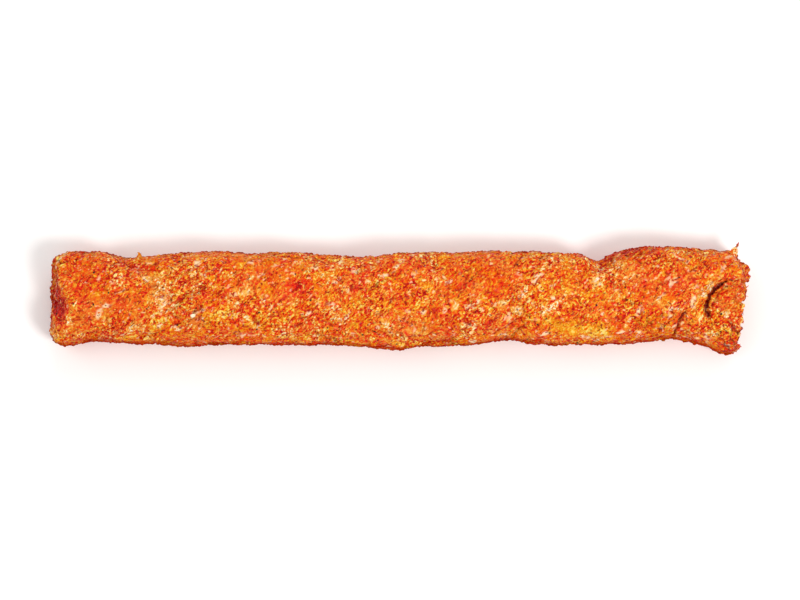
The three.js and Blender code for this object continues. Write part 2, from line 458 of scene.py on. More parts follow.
@dataclass(frozen=True)
class MinceFinish:
    """Raw minced beef and fat, kneaded with paprika, salt and oil: granular, moist and slightly see-through.

    Lean grains are brick red, most of the paste is orange from the paprika, oil collects in yellow-orange
    places and fat shows as soft milky flecks. It is moist on top, with faint soft glints, and dull at the
    sides.
    """

    pattern: MincePattern
    flecks: tuple[Fleck, ...] = FLECKS
    patch_size: float = 12.0
    blotch_size: float = 4.2
    cloud_size: float = 4.8
    patch_share: float = 0.22  # how much the patches change the tone, which runs from 0 to 1
    blotch_share: float = 0.75
    grain_share: float = 0.12
    grit_share: float = 0.3
    streak_share: float = 0.8
    dust_share: float = 1.6
    crumb_dust_share: float = 1.4
    streak_stretch: float = 0.35  # scale along the strands
    smooth_contrast: float = 0.55  # of the fine patterns, where the mince is kneaded smooth
    grainy_contrast: float = 1.45  # of the fine patterns, where it is all grains
    milk_share: float = 0.25  # how much a fully milky place adds to the clouds of milky paste
    cloud_seed: float = 3.0
    milk_from: float = 0.46  # cloud at which the paste starts to be milky
    milk_full: float = 0.66
    hollow_from: float = 0.06  # depth in millimetres at which painted shade starts to darken a hollow
    hollow_full: float = 0.33
    # painted shade in the hollows between grains and at the bottoms of creases
    hollow_shade: float = 0.88
    hollow_shade_colour: str = "#a20603"
    crease_shade_colour: str = "#680603"
    grit_bump: tuple[float, float] = (0.7, 0.3)  # strength, and height in millimetres
    dust_bump: tuple[float, float] = (0.8, 0.4)
    crumb_bump: tuple[float, float] = (0.7, 0.3)
    dry_up_to: float = 0.05  # upward part of the skin's direction: the steep sides are dry
    moist_from: float = 0.6  # and the top is moist
    # painted shade at the rim, where the skin is seen edge-on
    rim_shade_colour: str = "#801005"
    rim_shade_strength: float = 0.85
    rim_width: float = 0.42  # how far from edge-on the painted shade at the rim reaches, where 1 is face-on
    roughness: float = 0.36
    ior: float = 1.2  # under that of water, 1.33, which gives more sheen than this rough skin has
    sheen: float = 0.38
    coat: float = 0.05
    coat_roughness: float = 0.14
    see_through: float = 0.15
    see_through_depth: float = 0.6
    see_through_reach: tuple[float, float, float] = (1.0, 0.25, 0.06)  # of red, green and blue light

    def skin(self) -> bpy.types.Material:
        """Returns the material for the strip's skin."""
        material, tree = new_material("raw_minced_meat")
        place = add(tree, "ShaderNodeAttribute", attribute_name=REST).outputs["Vector"]
        strands = self.pattern.lay(tree, place)
        dust = self._dust(tree, strands)
        stretch = (self.streak_stretch, 1.0, 1.0)
        drawn_out = add(tree, "ShaderNodeVectorMath", {0: strands, 1: stretch}, operation="MULTIPLY")
        streaky = {"Vector": drawn_out, "Scale": per_mm(self.pattern.strand_size), "Detail": 2.0}
        shares = [(dust, self.dust_share), (add(tree, "ShaderNodeTexNoise", streaky), self.streak_share)]
        grits = (self.pattern.grit_size, self.grit_share)
        for size, share in (grits, (self.pattern.grain_size, self.grain_share)):
            cells = add(tree, "ShaderNodeTexVoronoi", {"Vector": strands, "Scale": per_mm(size)})
            shade = add(tree, "ShaderNodeSeparateColor", {"Color": cells.outputs["Color"]}).outputs["Red"]
            shares.append((shade, share))
        colour = self._paste(tree, place, strands, shares)
        colour = self._flecked(tree, strands, colour)
        colour = self._hollowed(tree, colour)
        grit = {"Vector": strands, "Scale": per_mm(self.pattern.grit_size)}
        cells = add(tree, "ShaderNodeTexVoronoi", grit)
        strength, height = self.grit_bump
        grains = {"Height": cells, "Strength": strength, "Distance": mm(height)}
        coarse = add(tree, "ShaderNodeBump", grains, invert=True)
        strength, height = self.dust_bump
        dusty = {"Height": dust, "Strength": strength, "Distance": mm(height), "Normal": coarse}
        self._surface(tree, colour, add(tree, "ShaderNodeBump", dusty))
        return material

    def crumbs(self, name: str, lighter: float, own_share: float) -> bpy.types.Material:
        """Makes the material for loose crumbs, each coloured after the skin that it lies in.

        Args:
            name: The material's name.
            lighter: How much fatter the crumbs are than that skin, or leaner if it is below 0.
            own_share: How much their tones differ among themselves.

        Returns:
            The material.
        """
        material, tree = new_material(name)
        root = add(tree, "ShaderNodeAttribute", attribute_name=REST).outputs["Vector"]
        dust = self._dust(tree, add(tree, "ShaderNodeTexCoord").outputs["Object"])
        own = add(tree, "ShaderNodeAttribute", attribute_name=TONE).outputs["Fac"]
        fatter = add(tree, "ShaderNodeMath", {0: own, 1: lighter / own_share}, operation="ADD")
        shares = [(dust, self.crumb_dust_share), (fatter, own_share)]
        colour = self._paste(tree, root, self.pattern.lay(tree, root), shares)
        colour = self._hollowed(tree, colour)
        strength, height = self.crumb_bump
        dusty = {"Height": dust, "Strength": strength, "Distance": mm(height)}
        self._surface(tree, colour, add(tree, "ShaderNodeBump", dusty))
        return material

    def _dust(self, tree: bpy.types.NodeTree, place: Any) -> Any:
        """Makes the finest grain of the mince.

        Real dust of spice and fat is finer still, and is drawn as coarse as it needs to show.

        Args:
            tree: The material's node tree.
            place: The node or socket that gives the place.

        Returns:
            The node that gives the grain.
        """
        dust = {"Vector": place, "Scale": per_mm(self.pattern.dust_size), "Detail": 1.0, "Roughness": 0.6}
        return add(tree, "ShaderNodeTexNoise", dust)

    def _surface(self, tree: bpy.types.NodeTree, colour: Any, bump: Any) -> None:
        """Ends a material with raw meat's slightly see-through surface, moister on top than at the sides.

        Args:
            tree: The material's node tree.
            colour: The node that gives its colour.
            bump: The node that gives its bumps.
        """
        outward = add(tree, "ShaderNodeAttribute", attribute_name=OUTWARD).outputs["Vector"]
        upward = add(tree, "ShaderNodeSeparateXYZ", {0: outward}).outputs["Z"]
        wet = {"Value": upward, "From Min": self.dry_up_to, "From Max": self.moist_from}
        moist = add(tree, "ShaderNodeMapRange", wet)
        # Painted shade at the rim: the skin darkens where it is seen edge-on and doesn't face up.
        incoming = add(tree, "ShaderNodeNewGeometry").outputs["Incoming"]
        facing = add(tree, "ShaderNodeVectorMath", {0: outward, 1: incoming}, operation="DOT_PRODUCT")
        steepest = add(tree, "ShaderNodeMath", {0: facing, 1: upward}, operation="MAXIMUM")
        skimmed = {"Value": steepest, "From Max": self.rim_width, "To Min": self.rim_shade_strength, "To Max": 0.0}
        dark = add(tree, "ShaderNodeMapRange", skimmed)
        rim = {"Factor": dark, "A": colour, "B": linear(self.rim_shade_colour)}
        sheen = add(tree, "ShaderNodeMath", {0: moist, 1: self.sheen}, operation="MULTIPLY")
        skin = {
            "Specular IOR Level": sheen,
            "Base Color": add(tree, "ShaderNodeMix", rim, data_type="RGBA"),
            "Roughness": self.roughness,
            "IOR": self.ior,
            "Subsurface Weight": self.see_through,
            "Subsurface Radius": self.see_through_reach,
            "Subsurface Scale": mm(self.see_through_depth),
            "Coat Weight": add(tree, "ShaderNodeMath", {0: moist, 1: self.coat}, operation="MULTIPLY"),
            "Coat Roughness": self.coat_roughness,
            "Normal": bump,
            "Coat Normal": bump,
        }
        add(tree, "ShaderNodeOutputMaterial", {"Surface": add(tree, "ShaderNodeBsdfPrincipled", skin)})

    def _paste(
        self, tree: bpy.types.NodeTree, place: Any, strands: Any, shares: list[tuple[Any, float]]
    ) -> Any:
        """Colours the kneaded paste: how lean or fat each grain is, in places that are oilier or milkier.

        Args:
            tree: The material's node tree.
            place: The place on the smooth skin.
            strands: The same place, bent along the strands of mince.
            shares: Fine patterns, each with its share in the tone.

        Returns:
            The node that gives the colour.
        """
        patchy = {"Vector": place, "Scale": per_mm(self.patch_size), "Detail": 3.0}
        blotchy = {"Vector": strands, "Scale": per_mm(self.blotch_size), "Detail": 4.0, "Roughness": 0.65}
        patch = add(tree, "ShaderNodeTexNoise", patchy)
        blotch = add(tree, "ShaderNodeTexNoise", blotchy)
        lighter = add(tree, "ShaderNodeAttribute", attribute_name=LIGHTER).outputs["Fac"]
        granular = self.pattern.granular(tree, place, self.smooth_contrast, self.grainy_contrast)
        granular = add(tree, "ShaderNodeMath", {0: granular, 1: self._grainy(tree)}, operation="MULTIPLY")
        tone = weighed(tree, 0.0, shares)
        tone = add(tree, "ShaderNodeMath", {0: tone, 1: granular, 2: lighter}, operation="MULTIPLY_ADD")
        tone = weighed(tree, tone, [(patch, self.patch_share), (blotch, self.blotch_share)])
        tone = add(tree, "ShaderNodeMath", {0: tone, 1: MIDDLE}, operation="ADD")
        oily = add(tree, "ShaderNodeValToRGB", {"Fac": tone}, stops=OILY)
        milky = add(tree, "ShaderNodeValToRGB", {"Fac": tone}, stops=MILKY)
        cloudy = {"Vector": strands, "W": self.cloud_seed, "Scale": per_mm(self.cloud_size), "Detail": 4.0}
        cloud = add(tree, "ShaderNodeTexNoise", cloudy, noise_dimensions="4D")
        milk = add(tree, "ShaderNodeAttribute", attribute_name=MILKIER).outputs["Fac"]
        more = {0: milk, 1: self.milk_share, 2: cloud}
        clouded = add(tree, "ShaderNodeMath", more, operation="MULTIPLY_ADD")
        band = {"Value": clouded, "From Min": self.milk_from, "From Max": self.milk_full}
        share = add(tree, "ShaderNodeMapRange", band)
        return add(tree, "ShaderNodeMix", {"Factor": share, "A": oily, "B": milky}, data_type="RGBA")

    def _grainy(self, tree: bpy.types.NodeTree) -> Any:
        """Returns the node that gives 1 where the mince is grainy, and less where it is kneaded smooth."""
        kneaded = add(tree, "ShaderNodeAttribute", attribute_name=KNEADED).outputs["Fac"]
        return add(tree, "ShaderNodeMath", {0: 1.0, 1: kneaded}, operation="SUBTRACT")

    def _flecked(self, tree: bpy.types.NodeTree, strands: Any, colour: Any) -> Any:
        """Adds the soft flecks of fat, lean meat, paprika and oil to the paste.

        Args:
            tree: The material's node tree.
            strands: The place, bent along the strands of mince.
            colour: The node that gives the paste's colour.

        Returns:
            The node that gives the colour with its flecks.
        """
        for fleck in self.flecks:
            spread = {"Vector": strands, "W": fleck.seed, "Scale": per_mm(fleck.size), "Detail": 1.0}
            noise = add(tree, "ShaderNodeTexNoise", spread, noise_dimensions="4D")
            fade = {"Value": noise, "From Min": fleck.low, "From Max": fleck.high, "To Max": fleck.strength}
            share = add(tree, "ShaderNodeMapRange", fade, interpolation_type="SMOOTHSTEP")
            mix = {"Factor": share, "A": colour, "B": linear(fleck.colour)}
            colour = add(tree, "ShaderNodeMix", mix, data_type="RGBA")
        return colour

    def _hollowed(self, tree: bpy.types.NodeTree, colour: Any) -> Any:
        """Paints shade into the colour between grains and at the bottom of creases.

        Args:
            tree: The material's node tree.
            colour: The node that gives the colour so far.

        Returns:
            The node that gives the colour with its painted shade.
        """
        hollow = add(tree, "ShaderNodeAttribute", attribute_name=HOLLOW).outputs["Fac"]
        crease = add(tree, "ShaderNodeAttribute", attribute_name=CREASE_SHADE).outputs["Fac"]
        band = {"Value": hollow, "From Min": self.hollow_from, "From Max": self.hollow_full}
        dark = band | {"To Max": self.hollow_shade}
        deep = add(tree, "ShaderNodeMapRange", dark, interpolation_type="SMOOTHSTEP")
        deep = add(tree, "ShaderNodeMath", {0: deep, 1: self._grainy(tree)}, operation="MULTIPLY")
        for share, darker in ((deep, self.hollow_shade_colour), (crease, self.crease_shade_colour)):
            mix = {"Factor": share, "A": colour, "B": linear(darker)}
            colour = add(tree, "ShaderNodeMix", mix, data_type="RGBA")
        return colour


@dataclass(frozen=True)
class CrumbFinish:
    """Small bits in the mince that aren't paste, each with a shade of its own among the given ones."""

    name: str
    shades: tuple[str, ...]
    mottle: float = 0.35  # how far one bit's own tone wanders
    mottle_size: float = 0.9
    bump: tuple[float, float] = (0.5, 0.25)  # strength, and height in millimetres
    roughness: float = 0.36
    ior: float = 1.33  # that of the juice on it
    see_through: float = 0.2
    see_through_depth: float = 0.7
    see_through_reach: tuple[float, float, float] = (1.0, 0.45, 0.2)  # of red, green and blue light
    coat: float = 0.1
    coat_roughness: float = 0.16

    def material(self) -> bpy.types.Material:
        """Returns the material."""
        material, tree = new_material(self.name)
        place = add(tree, "ShaderNodeTexCoord").outputs["Object"]
        tone = add(tree, "ShaderNodeAttribute", attribute_name=TONE).outputs["Fac"]
        grainy = {"Vector": place, "Scale": per_mm(self.mottle_size), "Detail": 3.0, "Roughness": 0.6}
        noise = add(tree, "ShaderNodeTexNoise", grainy)
        shade = weighed(tree, tone, [(noise, 2.0 * self.mottle)])
        last = len(self.shades) - 1
        stops = tuple((i / last, colour) for i, colour in enumerate(self.shades))
        colour = add(tree, "ShaderNodeValToRGB", {"Fac": shade}, stops=stops)
        strength, height = self.bump
        bumpy = {"Height": noise, "Strength": strength, "Distance": mm(height)}
        skin = {
            "Base Color": colour,
            "Roughness": self.roughness,
            "IOR": self.ior,
            "Subsurface Weight": self.see_through,
            "Subsurface Radius": self.see_through_reach,
            "Subsurface Scale": mm(self.see_through_depth),
            "Coat Weight": self.coat,
            "Coat Roughness": self.coat_roughness,
            "Normal": add(tree, "ShaderNodeBump", bumpy),
        }
        add(tree, "ShaderNodeOutputMaterial", {"Surface": add(tree, "ShaderNodeBsdfPrincipled", skin)})
        return material


# Torn strands of lean meat, smeared with paste: stringy, brick red to orange and a little moist.
FIBRE = CrumbFinish("torn_meat_fibres", ("#b82e0f", "#d55617", "#e27724", "#ec9b47"), roughness=0.4)
# Ground pepper and dried herbs: dry, matt, dark specks.
SPICE = CrumbFinish(
    "ground_pepper_and_herbs",
    ("#120b06", "#2a1b0e", "#33300f", "#4a1409"),
    mottle=0.2,
    roughness=0.6,
    see_through=0.0,
    coat=0.0,
)


def rows_of(values: Any, name: str) -> np.ndarray:
    """Reads the vectors of a mesh.

    Args:
        values: What has them, such as the mesh's vertices.
        name: Their name there.

    Returns:
        One row of three numbers for each.
    """
    numbers = np.empty(len(values) * 3)
    values.foreach_get(name, numbers)
    return numbers.reshape(-1, 3)


@dataclass(frozen=True)
class Tongue:
    """A pointed rag of meat that stands out of the strip's outline, along a straight spine."""

    root: tuple[float, float, float]
    tip: tuple[float, float, float]
    width: float
    thickness: float
    rings: int = 6
    sides: int = 10
    bluntness: float = 1.6  # 1 tapers evenly, and more stays thick up to near the tip

    def add_to(self, mesh: bmesh.types.BMesh) -> None:
        """Adds the rag to a mesh as a closed skin that tapers from its root to its tip.

        Args:
            mesh: The mesh, in metres.
        """
        root = Vector(self.root) * mm(1)
        spine = Vector(self.tip) * mm(1) - root
        across = spine.cross(Vector((0, 0, 1))).normalized()
        up = across.cross(spine).normalized()
        loops = []
        for i in range(self.rings):
            along = i / self.rings
            taper = 1.0 - along**self.bluntness
            loop = []
            for j in range(self.sides):
                turn = math.tau * j / self.sides
                side = across * (mm(self.width) / 2 * taper * math.cos(turn))
                rise = up * (mm(self.thickness) / 2 * taper * math.sin(turn))
                loop.append(mesh.verts.new(root + spine * along + side + rise))
            loops.append(loop)
        point = mesh.verts.new(root + spine)
        mesh.faces.new(loops[0])
        for a, b in zip(loops, loops[1:]):
            for j in range(self.sides):
                k = (j + 1) % self.sides
                mesh.faces.new((a[j], b[j], b[k], a[k]))
        for j in range(self.sides):
            mesh.faces.new((loops[-1][j], point, loops[-1][(j + 1) % self.sides]))


# Waves along X and Y, in radians a millimetre: two that make a crease stray from its line, and one along
# which it comes and goes.
STRAY_WAVES = ((1.3, 2.6), (2.1, -1.7))
DEPTH_WAVE = (3.7, 2.9)


@dataclass(frozen=True)
class Crease:
    """A narrow fold in the upper skin that follows a line of points in plan, with painted shade at its
    bottom.
    """

    points: tuple[tuple[float, float], ...]
    depth: float
    width: float
    dark: float  # how dark the painted shade at its bottom is, from 0 to 1
    swing: float = 0.3  # how far it strays from its line
    waver: float = 0.15  # how much shallower it gets where it goes

    def nearness(self, places: np.ndarray) -> np.ndarray:
        """Works out how near the crease's line each place lies.

        Args:
            places: One row of X, Y and Z in millimetres for each place.

        Returns:
            1 on the line, fading to 0 a little past half the crease's width.
        """
        x, y = places[:, 0], places[:, 1]
        swing = np.stack([np.sin(along_x * x + along_y * y) for along_x, along_y in STRAY_WAVES], axis=1)
        plan = places[:, :2] + self.swing * swing
        nearest = np.full(len(places), np.inf)
        for (x0, y0), (x1, y1) in zip(self.points, self.points[1:]):
            run = np.array((x1 - x0, y1 - y0))
            along = (plan - (x0, y0)) @ run / (run @ run)
            foot = np.array((x0, y0)) + np.clip(along, 0.0, 1.0)[:, None] * run
            nearest = np.minimum(nearest, np.hypot(*(plan - foot).T))
        broken = (1.0 - self.waver) + self.waver * np.sin(DEPTH_WAVE[0] * x + DEPTH_WAVE[1] * y)
        return broken * np.exp(-((nearest / (self.width / 2)) ** 2))


@dataclass(frozen=True)
class Tint:
    """A place in the upper skin where the mince is lighter or darker, oilier or milkier, or smoother."""

    x: float
    y: float
    length: float
    width: float
    angle: float  # degrees from +X
    lighter: float  # added to the tone, which runs from 0 to 1
    milkier: float  # 1 is milky, -1 is oily and 0 changes nothing
    kneaded: float = 0.0  # 1 is kneaded to a smooth paste and 0 is as grainy as all round
    edge: float = 1.5  # how sharp its edge is, where 1 is softest

    def nearness(self, places: np.ndarray) -> np.ndarray:
        """Works out how near the middle each place lies.

        Args:
            places: One row of X, Y and Z in millimetres for each place.

        Returns:
            1 in the middle, fading to 0 a little past half the length and half the width.
        """
        turn = math.radians(self.angle)
        away = places[:, :2] - (self.x, self.y)
        along = away @ (math.cos(turn), math.sin(turn)) / (self.length / 2)
        across = away @ (-math.sin(turn), math.cos(turn)) / (self.width / 2)
        return np.exp(-((along**2 + across**2) ** self.edge))


# Rags that stand out of the strip's outline: four at its torn end and one on its far side.
TONGUES: tuple[Tongue, ...] = (
    Tongue((94.3, 12.2, 9.5), (95.9, 15.6, 10.6), 3.0, 2.8),
    Tongue((94.8, 12.8, 10.2), (96.8, 17.2, 11.0), 1.9, 1.6),
    Tongue((95.6, 9.4, 9.0), (100.5, 8.5, 9.2), 4.0, 2.8),
    Tongue((94.0, -12.4, 7.0), (97.4, -13.2, 7.5), 2.6, 2.2),
    Tongue((-73.9, 12.4, 9.5), (-74.8, 14.5, 10.4), 1.3, 1.3),
)

# Creases: those of the folded flap come first, and the notches in the torn edge last.
CREASES: tuple[Crease, ...] = (
    Crease(
        ((91.6, 4.3), (89.1, 2.7), (87.1, 0.4), (86.0, -2.1), (85.8, -4.3), (86.7, -5.6)), 1.3, 1.2, 1.0, 0.12
    ),
    Crease(((95.6, 4.9), (91.6, 4.5)), 0.7, 0.8, 0.5, 0.12),
    Crease(((94.3, 3.7), (91.4, 2.7), (89.6, 0.9), (88.3, -0.9), (87.7, -2.9)), 0.5, 0.7, 0.6, 0.2),
    Crease(((91.2, -9.4), (94.5, -13.2)), 0.7, 0.6, 0.75),
    Crease(((89.1, -10.5), (93.5, -15.0)), 0.7, 0.6, 0.75),
    Crease(((92.7, -7.7), (95.6, -10.7)), 0.7, 0.6, 0.75),
    Crease(((80.0, -4.6), (78.8, -6.4), (78.3, -8.3), (77.6, -10.2), (76.4, -11.9)), 1.0, 1.0, 0.85, 0.15),
    Crease(((81.8, -8.9), (80.6, -9.9), (79.2, -10.4)), 0.5, 0.7, 0.3, 0.15),
    Crease(((18.2, 2.5), (19.4, 4.5), (22.6, 7.5)), 0.6, 0.6, 0.6),
    Crease(((-58.0, -4.9), (-55.3, -2.7)), 0.6, 0.8, 0.7),
    Crease(((-61.6, -2.1), (-59.6, 0.9)), 0.4, 0.7, 0.5),
    Crease(((-63.5, -4.1), (-61.8, -1.3)), 0.4, 0.7, 0.4),
    Crease(((-57.4, -0.1), (-55.5, 2.3)), 0.4, 0.7, 0.4),
    Crease(((-40.8, -5.9), (-39.7, -8.5)), 0.4, 0.7, 0.5),
    Crease(((-97.2, 10.7), (-95.0, 9.9)), 0.7, 0.8, 0.7),
    Crease(((-39.2, 5.4), (-36.8, 8.4)), 0.5, 0.7, 0.45),
    Crease(((-9.0, 1.5), (-6.0, 3.5)), 0.5, 0.8, 0.6),
    Crease(((-24.0, -10.0), (-20.5, -11.2), (-16.8, -12.0)), 0.5, 0.7, 0.6),
    Crease(((-76.8, 9.2), (-72.4, 8.8), (-67.9, 7.5)), 0.6, 1.2, 0.0),
    Crease(((56.8, 8.7), (58.7, 6.3)), 0.35, 0.9, 0.3),
    Crease(((30.9, -12.1), (32.6, -9.5), (35.0, -8.3)), 0.6, 0.8, 0.4),
    Crease(((65.6, -5.9), (67.5, -8.3)), 0.5, 0.6, 0.4),
    Crease(((69.1, -6.4), (71.1, -8.6)), 0.5, 0.7, 0.6),
    Crease(((72.0, -7.2), (73.7, -9.2)), 0.5, 0.7, 0.35),
    Crease(((68.8, -8.6), (71.2, -6.6), (74.0, -5.2)), 0.5, 0.6, 0.4),
    Crease(((57.2, 10.3), (61.5, 12.0), (66.0, 13.2), (72.0, 13.9)), 0.3, 1.2, 0.4, 0.6),
    Crease(((59.0, 9.6), (64.0, 11.4), (69.0, 12.4)), 0.3, 0.7, 0.3, 0.6),
    Crease(((97.0, 4.7), (99.6, 4.5)), 1.3, 1.2, 0.2, 0.1),
    Crease(((96.6, -1.5), (99.4, -1.7)), 1.2, 1.2, 0.2, 0.1),
    Crease(((96.4, -5.1), (99.0, -5.0)), 0.7, 1.0, 0.1, 0.1),
    Crease(((96.0, -7.8), (98.6, -8.1)), 0.9, 1.0, 0.2, 0.1),
    Crease(((95.4, -9.8), (98.2, -10.2)), 1.3, 1.1, 0.2, 0.1),
    Crease(((95.4, -11.7), (98.2, -12.0)), 1.1, 1.0, 0.2, 0.1),
)

# The broad and the small places where the mince differs from what is all round; a few paint light and shade,
# as marked.
TINTS: tuple[Tint, ...] = (
    Tint(-68.1, 1.2, 14.0, 6.5, -60.0, 0.14, 0.7, 0.45),
    Tint(-72.4, 8.3, 10.0, 1.8, -10.0, -0.3, 0.0),
    Tint(-74.9, 11.2, 9.0, 2.6, -10.0, 0.1, -1.0),
    Tint(-68.5, -7.7, 6.0, 3.0, 20.0, 0.16, -1.0),
    Tint(-69.5, -3.9, 4.0, 2.4, 0.0, -0.14, 0.0),
    Tint(-90.7, 5.0, 14.0, 12.0, 0.0, -0.12, -0.1, 0.55),
    # Painted light: a lit, yellower band along the near lower edge.
    Tint(49.8, -8.6, 21.0, 5.0, -12.0, 0.16, -1.5, 0.5),
    Tint(50.3, -9.0, 18.0, 2.6, -10.0, 0.14, -1.5),
    Tint(55.0, 4.2, 4.0, 2.8, 70.0, 0.34, 1.2, 0.8),
    Tint(42.5, -3.0, 6.5, 1.4, 32.0, 0.26, 0.6),
    Tint(64.9, 5.5, 8.0, 3.0, 28.0, 0.16, 0.4),
    Tint(84.4, -0.1, 5.5, 3.0, 50.0, 0.1, 0.2, 0.3),
    Tint(87.2, 3.0, 3.4, 2.2, 50.0, 0.32, 0.6, 0.7),
    # Painted highlight on the folded flap's lobe.
    Tint(91.8, -4.6, 2.6, 2.2, 0.0, 0.42, 0.3, 0.7),
    Tint(88.5, -10.8, 3.0, 2.0, 0.0, 0.2, 0.8),
    Tint(92.7, -13.4, 9.0, 5.0, -40.0, -0.1, -0.3),
    # Painted shade along the far top edge past the notch.
    Tint(61.1, 12.0, 9.0, 3.0, 18.0, -0.2, -0.5),
    Tint(69.0, 14.4, 18.0, 2.4, 6.0, -0.2, -0.3),
    Tint(68.0, -7.4, 10.0, 6.0, -30.0, -0.08, -0.6),
    Tint(7.4, 2.3, 5.0, 2.4, -40.0, 0.18, -0.6),
    Tint(-11.8, 2.9, 6.0, 4.0, 20.0, -0.12, 0.9),
    Tint(-96.4, -3.2, 8.6, 3.4, -76.0, -0.36, -0.2),
    # Painted highlight: a lit stroke on the cut end's upper corner.
    Tint(-96.3, 11.6, 3.2, 1.0, 50.0, 0.35, -0.5),
    Tint(-93.3, -7.1, 2.4, 0.9, 55.0, 0.35, 0.8),
    Tint(-90.7, -1.7, 2.4, 0.8, 35.0, 0.3, 0.8),
    Tint(-80.5, -2.1, 3.0, 0.9, 52.0, 0.3, 0.8),
    Tint(-70.2, -10.3, 2.6, 0.9, 32.0, 0.4, 0.4),
    Tint(-58.1, -5.7, 2.4, 0.8, 45.0, 0.4, 0.8),
    Tint(-57.9, 6.5, 2.2, 1.1, 40.0, 0.4, 0.8),
    Tint(-53.0, 5.0, 3.0, 1.8, -20.0, 0.3, -0.4),
    Tint(-47.7, 5.9, 3.4, 1.4, 10.0, 0.35, 0.4),
    Tint(-42.8, 1.2, 4.5, 2.4, 10.0, 0.2, 1.0, 0.5),
    Tint(-43.2, -5.8, 2.4, 1.1, -40.0, 0.35, 0.8),
    Tint(-41.3, -7.6, 3.4, 1.0, -60.0, 0.3, 0.5),
    Tint(-57.5, -7.3, 6.0, 4.0, 0.0, 0.05, 1.0),
    Tint(-50.5, -5.2, 8.0, 6.0, 0.0, 0.08, -0.6),
    Tint(-28.8, 1.9, 9.0, 6.0, 20.0, -0.16, 0.2),
    Tint(-17.7, -5.2, 9.0, 5.0, -30.0, 0.12, 0.3),
    Tint(-0.5, -9.4, 10.0, 4.0, -20.0, 0.12, 0.4),
    Tint(-11.9, 6.9, 2.4, 1.1, 10.0, 0.4, 0.6),
    Tint(-7.1, 8.0, 2.2, 1.6, 0.0, 0.4, -0.2),
    Tint(3.9, 3.7, 2.6, 1.6, -10.0, -0.4, 0.0),
    Tint(15.6, -2.8, 3.2, 2.2, 70.0, 0.36, 1.2, 0.6),
    Tint(28.8, -2.0, 2.8, 2.2, 40.0, 0.4, 0.6, 0.7),
    Tint(33.0, -3.8, 4.6, 2.4, -30.0, 0.3, 1.2, 0.6),
    Tint(34.4, 0.1, 4.0, 1.8, 60.0, 0.22, 1.0),
    Tint(-42.0, 5.1, 3.2, 1.0, 35.0, 0.35, 0.8),
    Tint(-38.0, -1.0, 2.2, 1.4, 20.0, 0.25, 1.0),
    Tint(-28.3, 2.9, 3.0, 2.0, 0.0, -0.2, 0.3),
    Tint(-22.3, 5.9, 3.2, 1.6, 25.0, 0.25, 0.4),
    Tint(-11.8, -4.1, 7.0, 1.6, 0.0, -0.16, 0.3),
    Tint(-4.2, -7.6, 3.2, 1.3, -35.0, 0.25, 0.8),
    Tint(1.7, -0.2, 3.2, 1.6, 80.0, -0.25, 0.4),
    Tint(64.3, 1.1, 1.8, 1.8, 0.0, 0.25, 1.0),
    Tint(72.4, -1.9, 3.4, 1.8, -45.0, 0.28, 0.8),
    Tint(69.9, -1.0, 4.4, 1.4, 80.0, 0.1, 1.0),
    Tint(86.6, 5.9, 4.0, 1.2, 5.0, 0.22, 1.0),
    Tint(71.5, -8.5, 10.0, 5.0, 0.0, 0.06, -1.0),
    Tint(63.9, -7.4, 2.8, 1.1, 40.0, 0.38, 0.4),
    Tint(57.4, -9.8, 2.8, 1.4, -50.0, 0.35, -0.6),
    Tint(93.0, -0.6, 9.0, 11.0, 0.0, -0.04, 0.4, 0.6),
    Tint(90.0, 9.0, 14.0, 6.0, 20.0, -0.06, 0.1, 0.3),
    Tint(-91.0, -8.0, 12.0, 8.0, 0.0, -0.02, 0.6),
    Tint(-98.0, 6.8, 8.0, 3.4, 90.0, 0.26, 0.1),
    Tint(-98.2, -9.4, 6.5, 3.4, 90.0, 0.24, 0.2),
    Tint(65.4, -0.9, 4.6, 2.6, 75.0, 0.16, 0.4),
    Tint(74.0, 4.0, 24.0, 10.0, 10.0, -0.02, 0.3, 0.45),
    Tint(-80.0, -3.0, 20.0, 10.0, 0.0, 0.0, 0.1, 0.4),
    Tint(-60.0, -7.0, 14.0, 6.0, 0.0, 0.0, 0.0, 0.35),
    Tint(24.0, 5.0, 20.0, 8.0, 0.0, 0.0, 0.0, 0.3),
    Tint(4.0, -8.0, 14.0, 5.0, -20.0, 0.04, 0.1, 0.4),
    Tint(51.0, 5.5, 11.0, 9.0, 0.0, -0.05, -0.2, 0.45),
    Tint(-34.0, 9.0, 26.0, 6.0, 0.0, -0.02, 0.0, 0.35),
    Tint(85.7, 0.4, 2.4, 1.8, 20.0, 0.36, 0.3, 0.7),
)


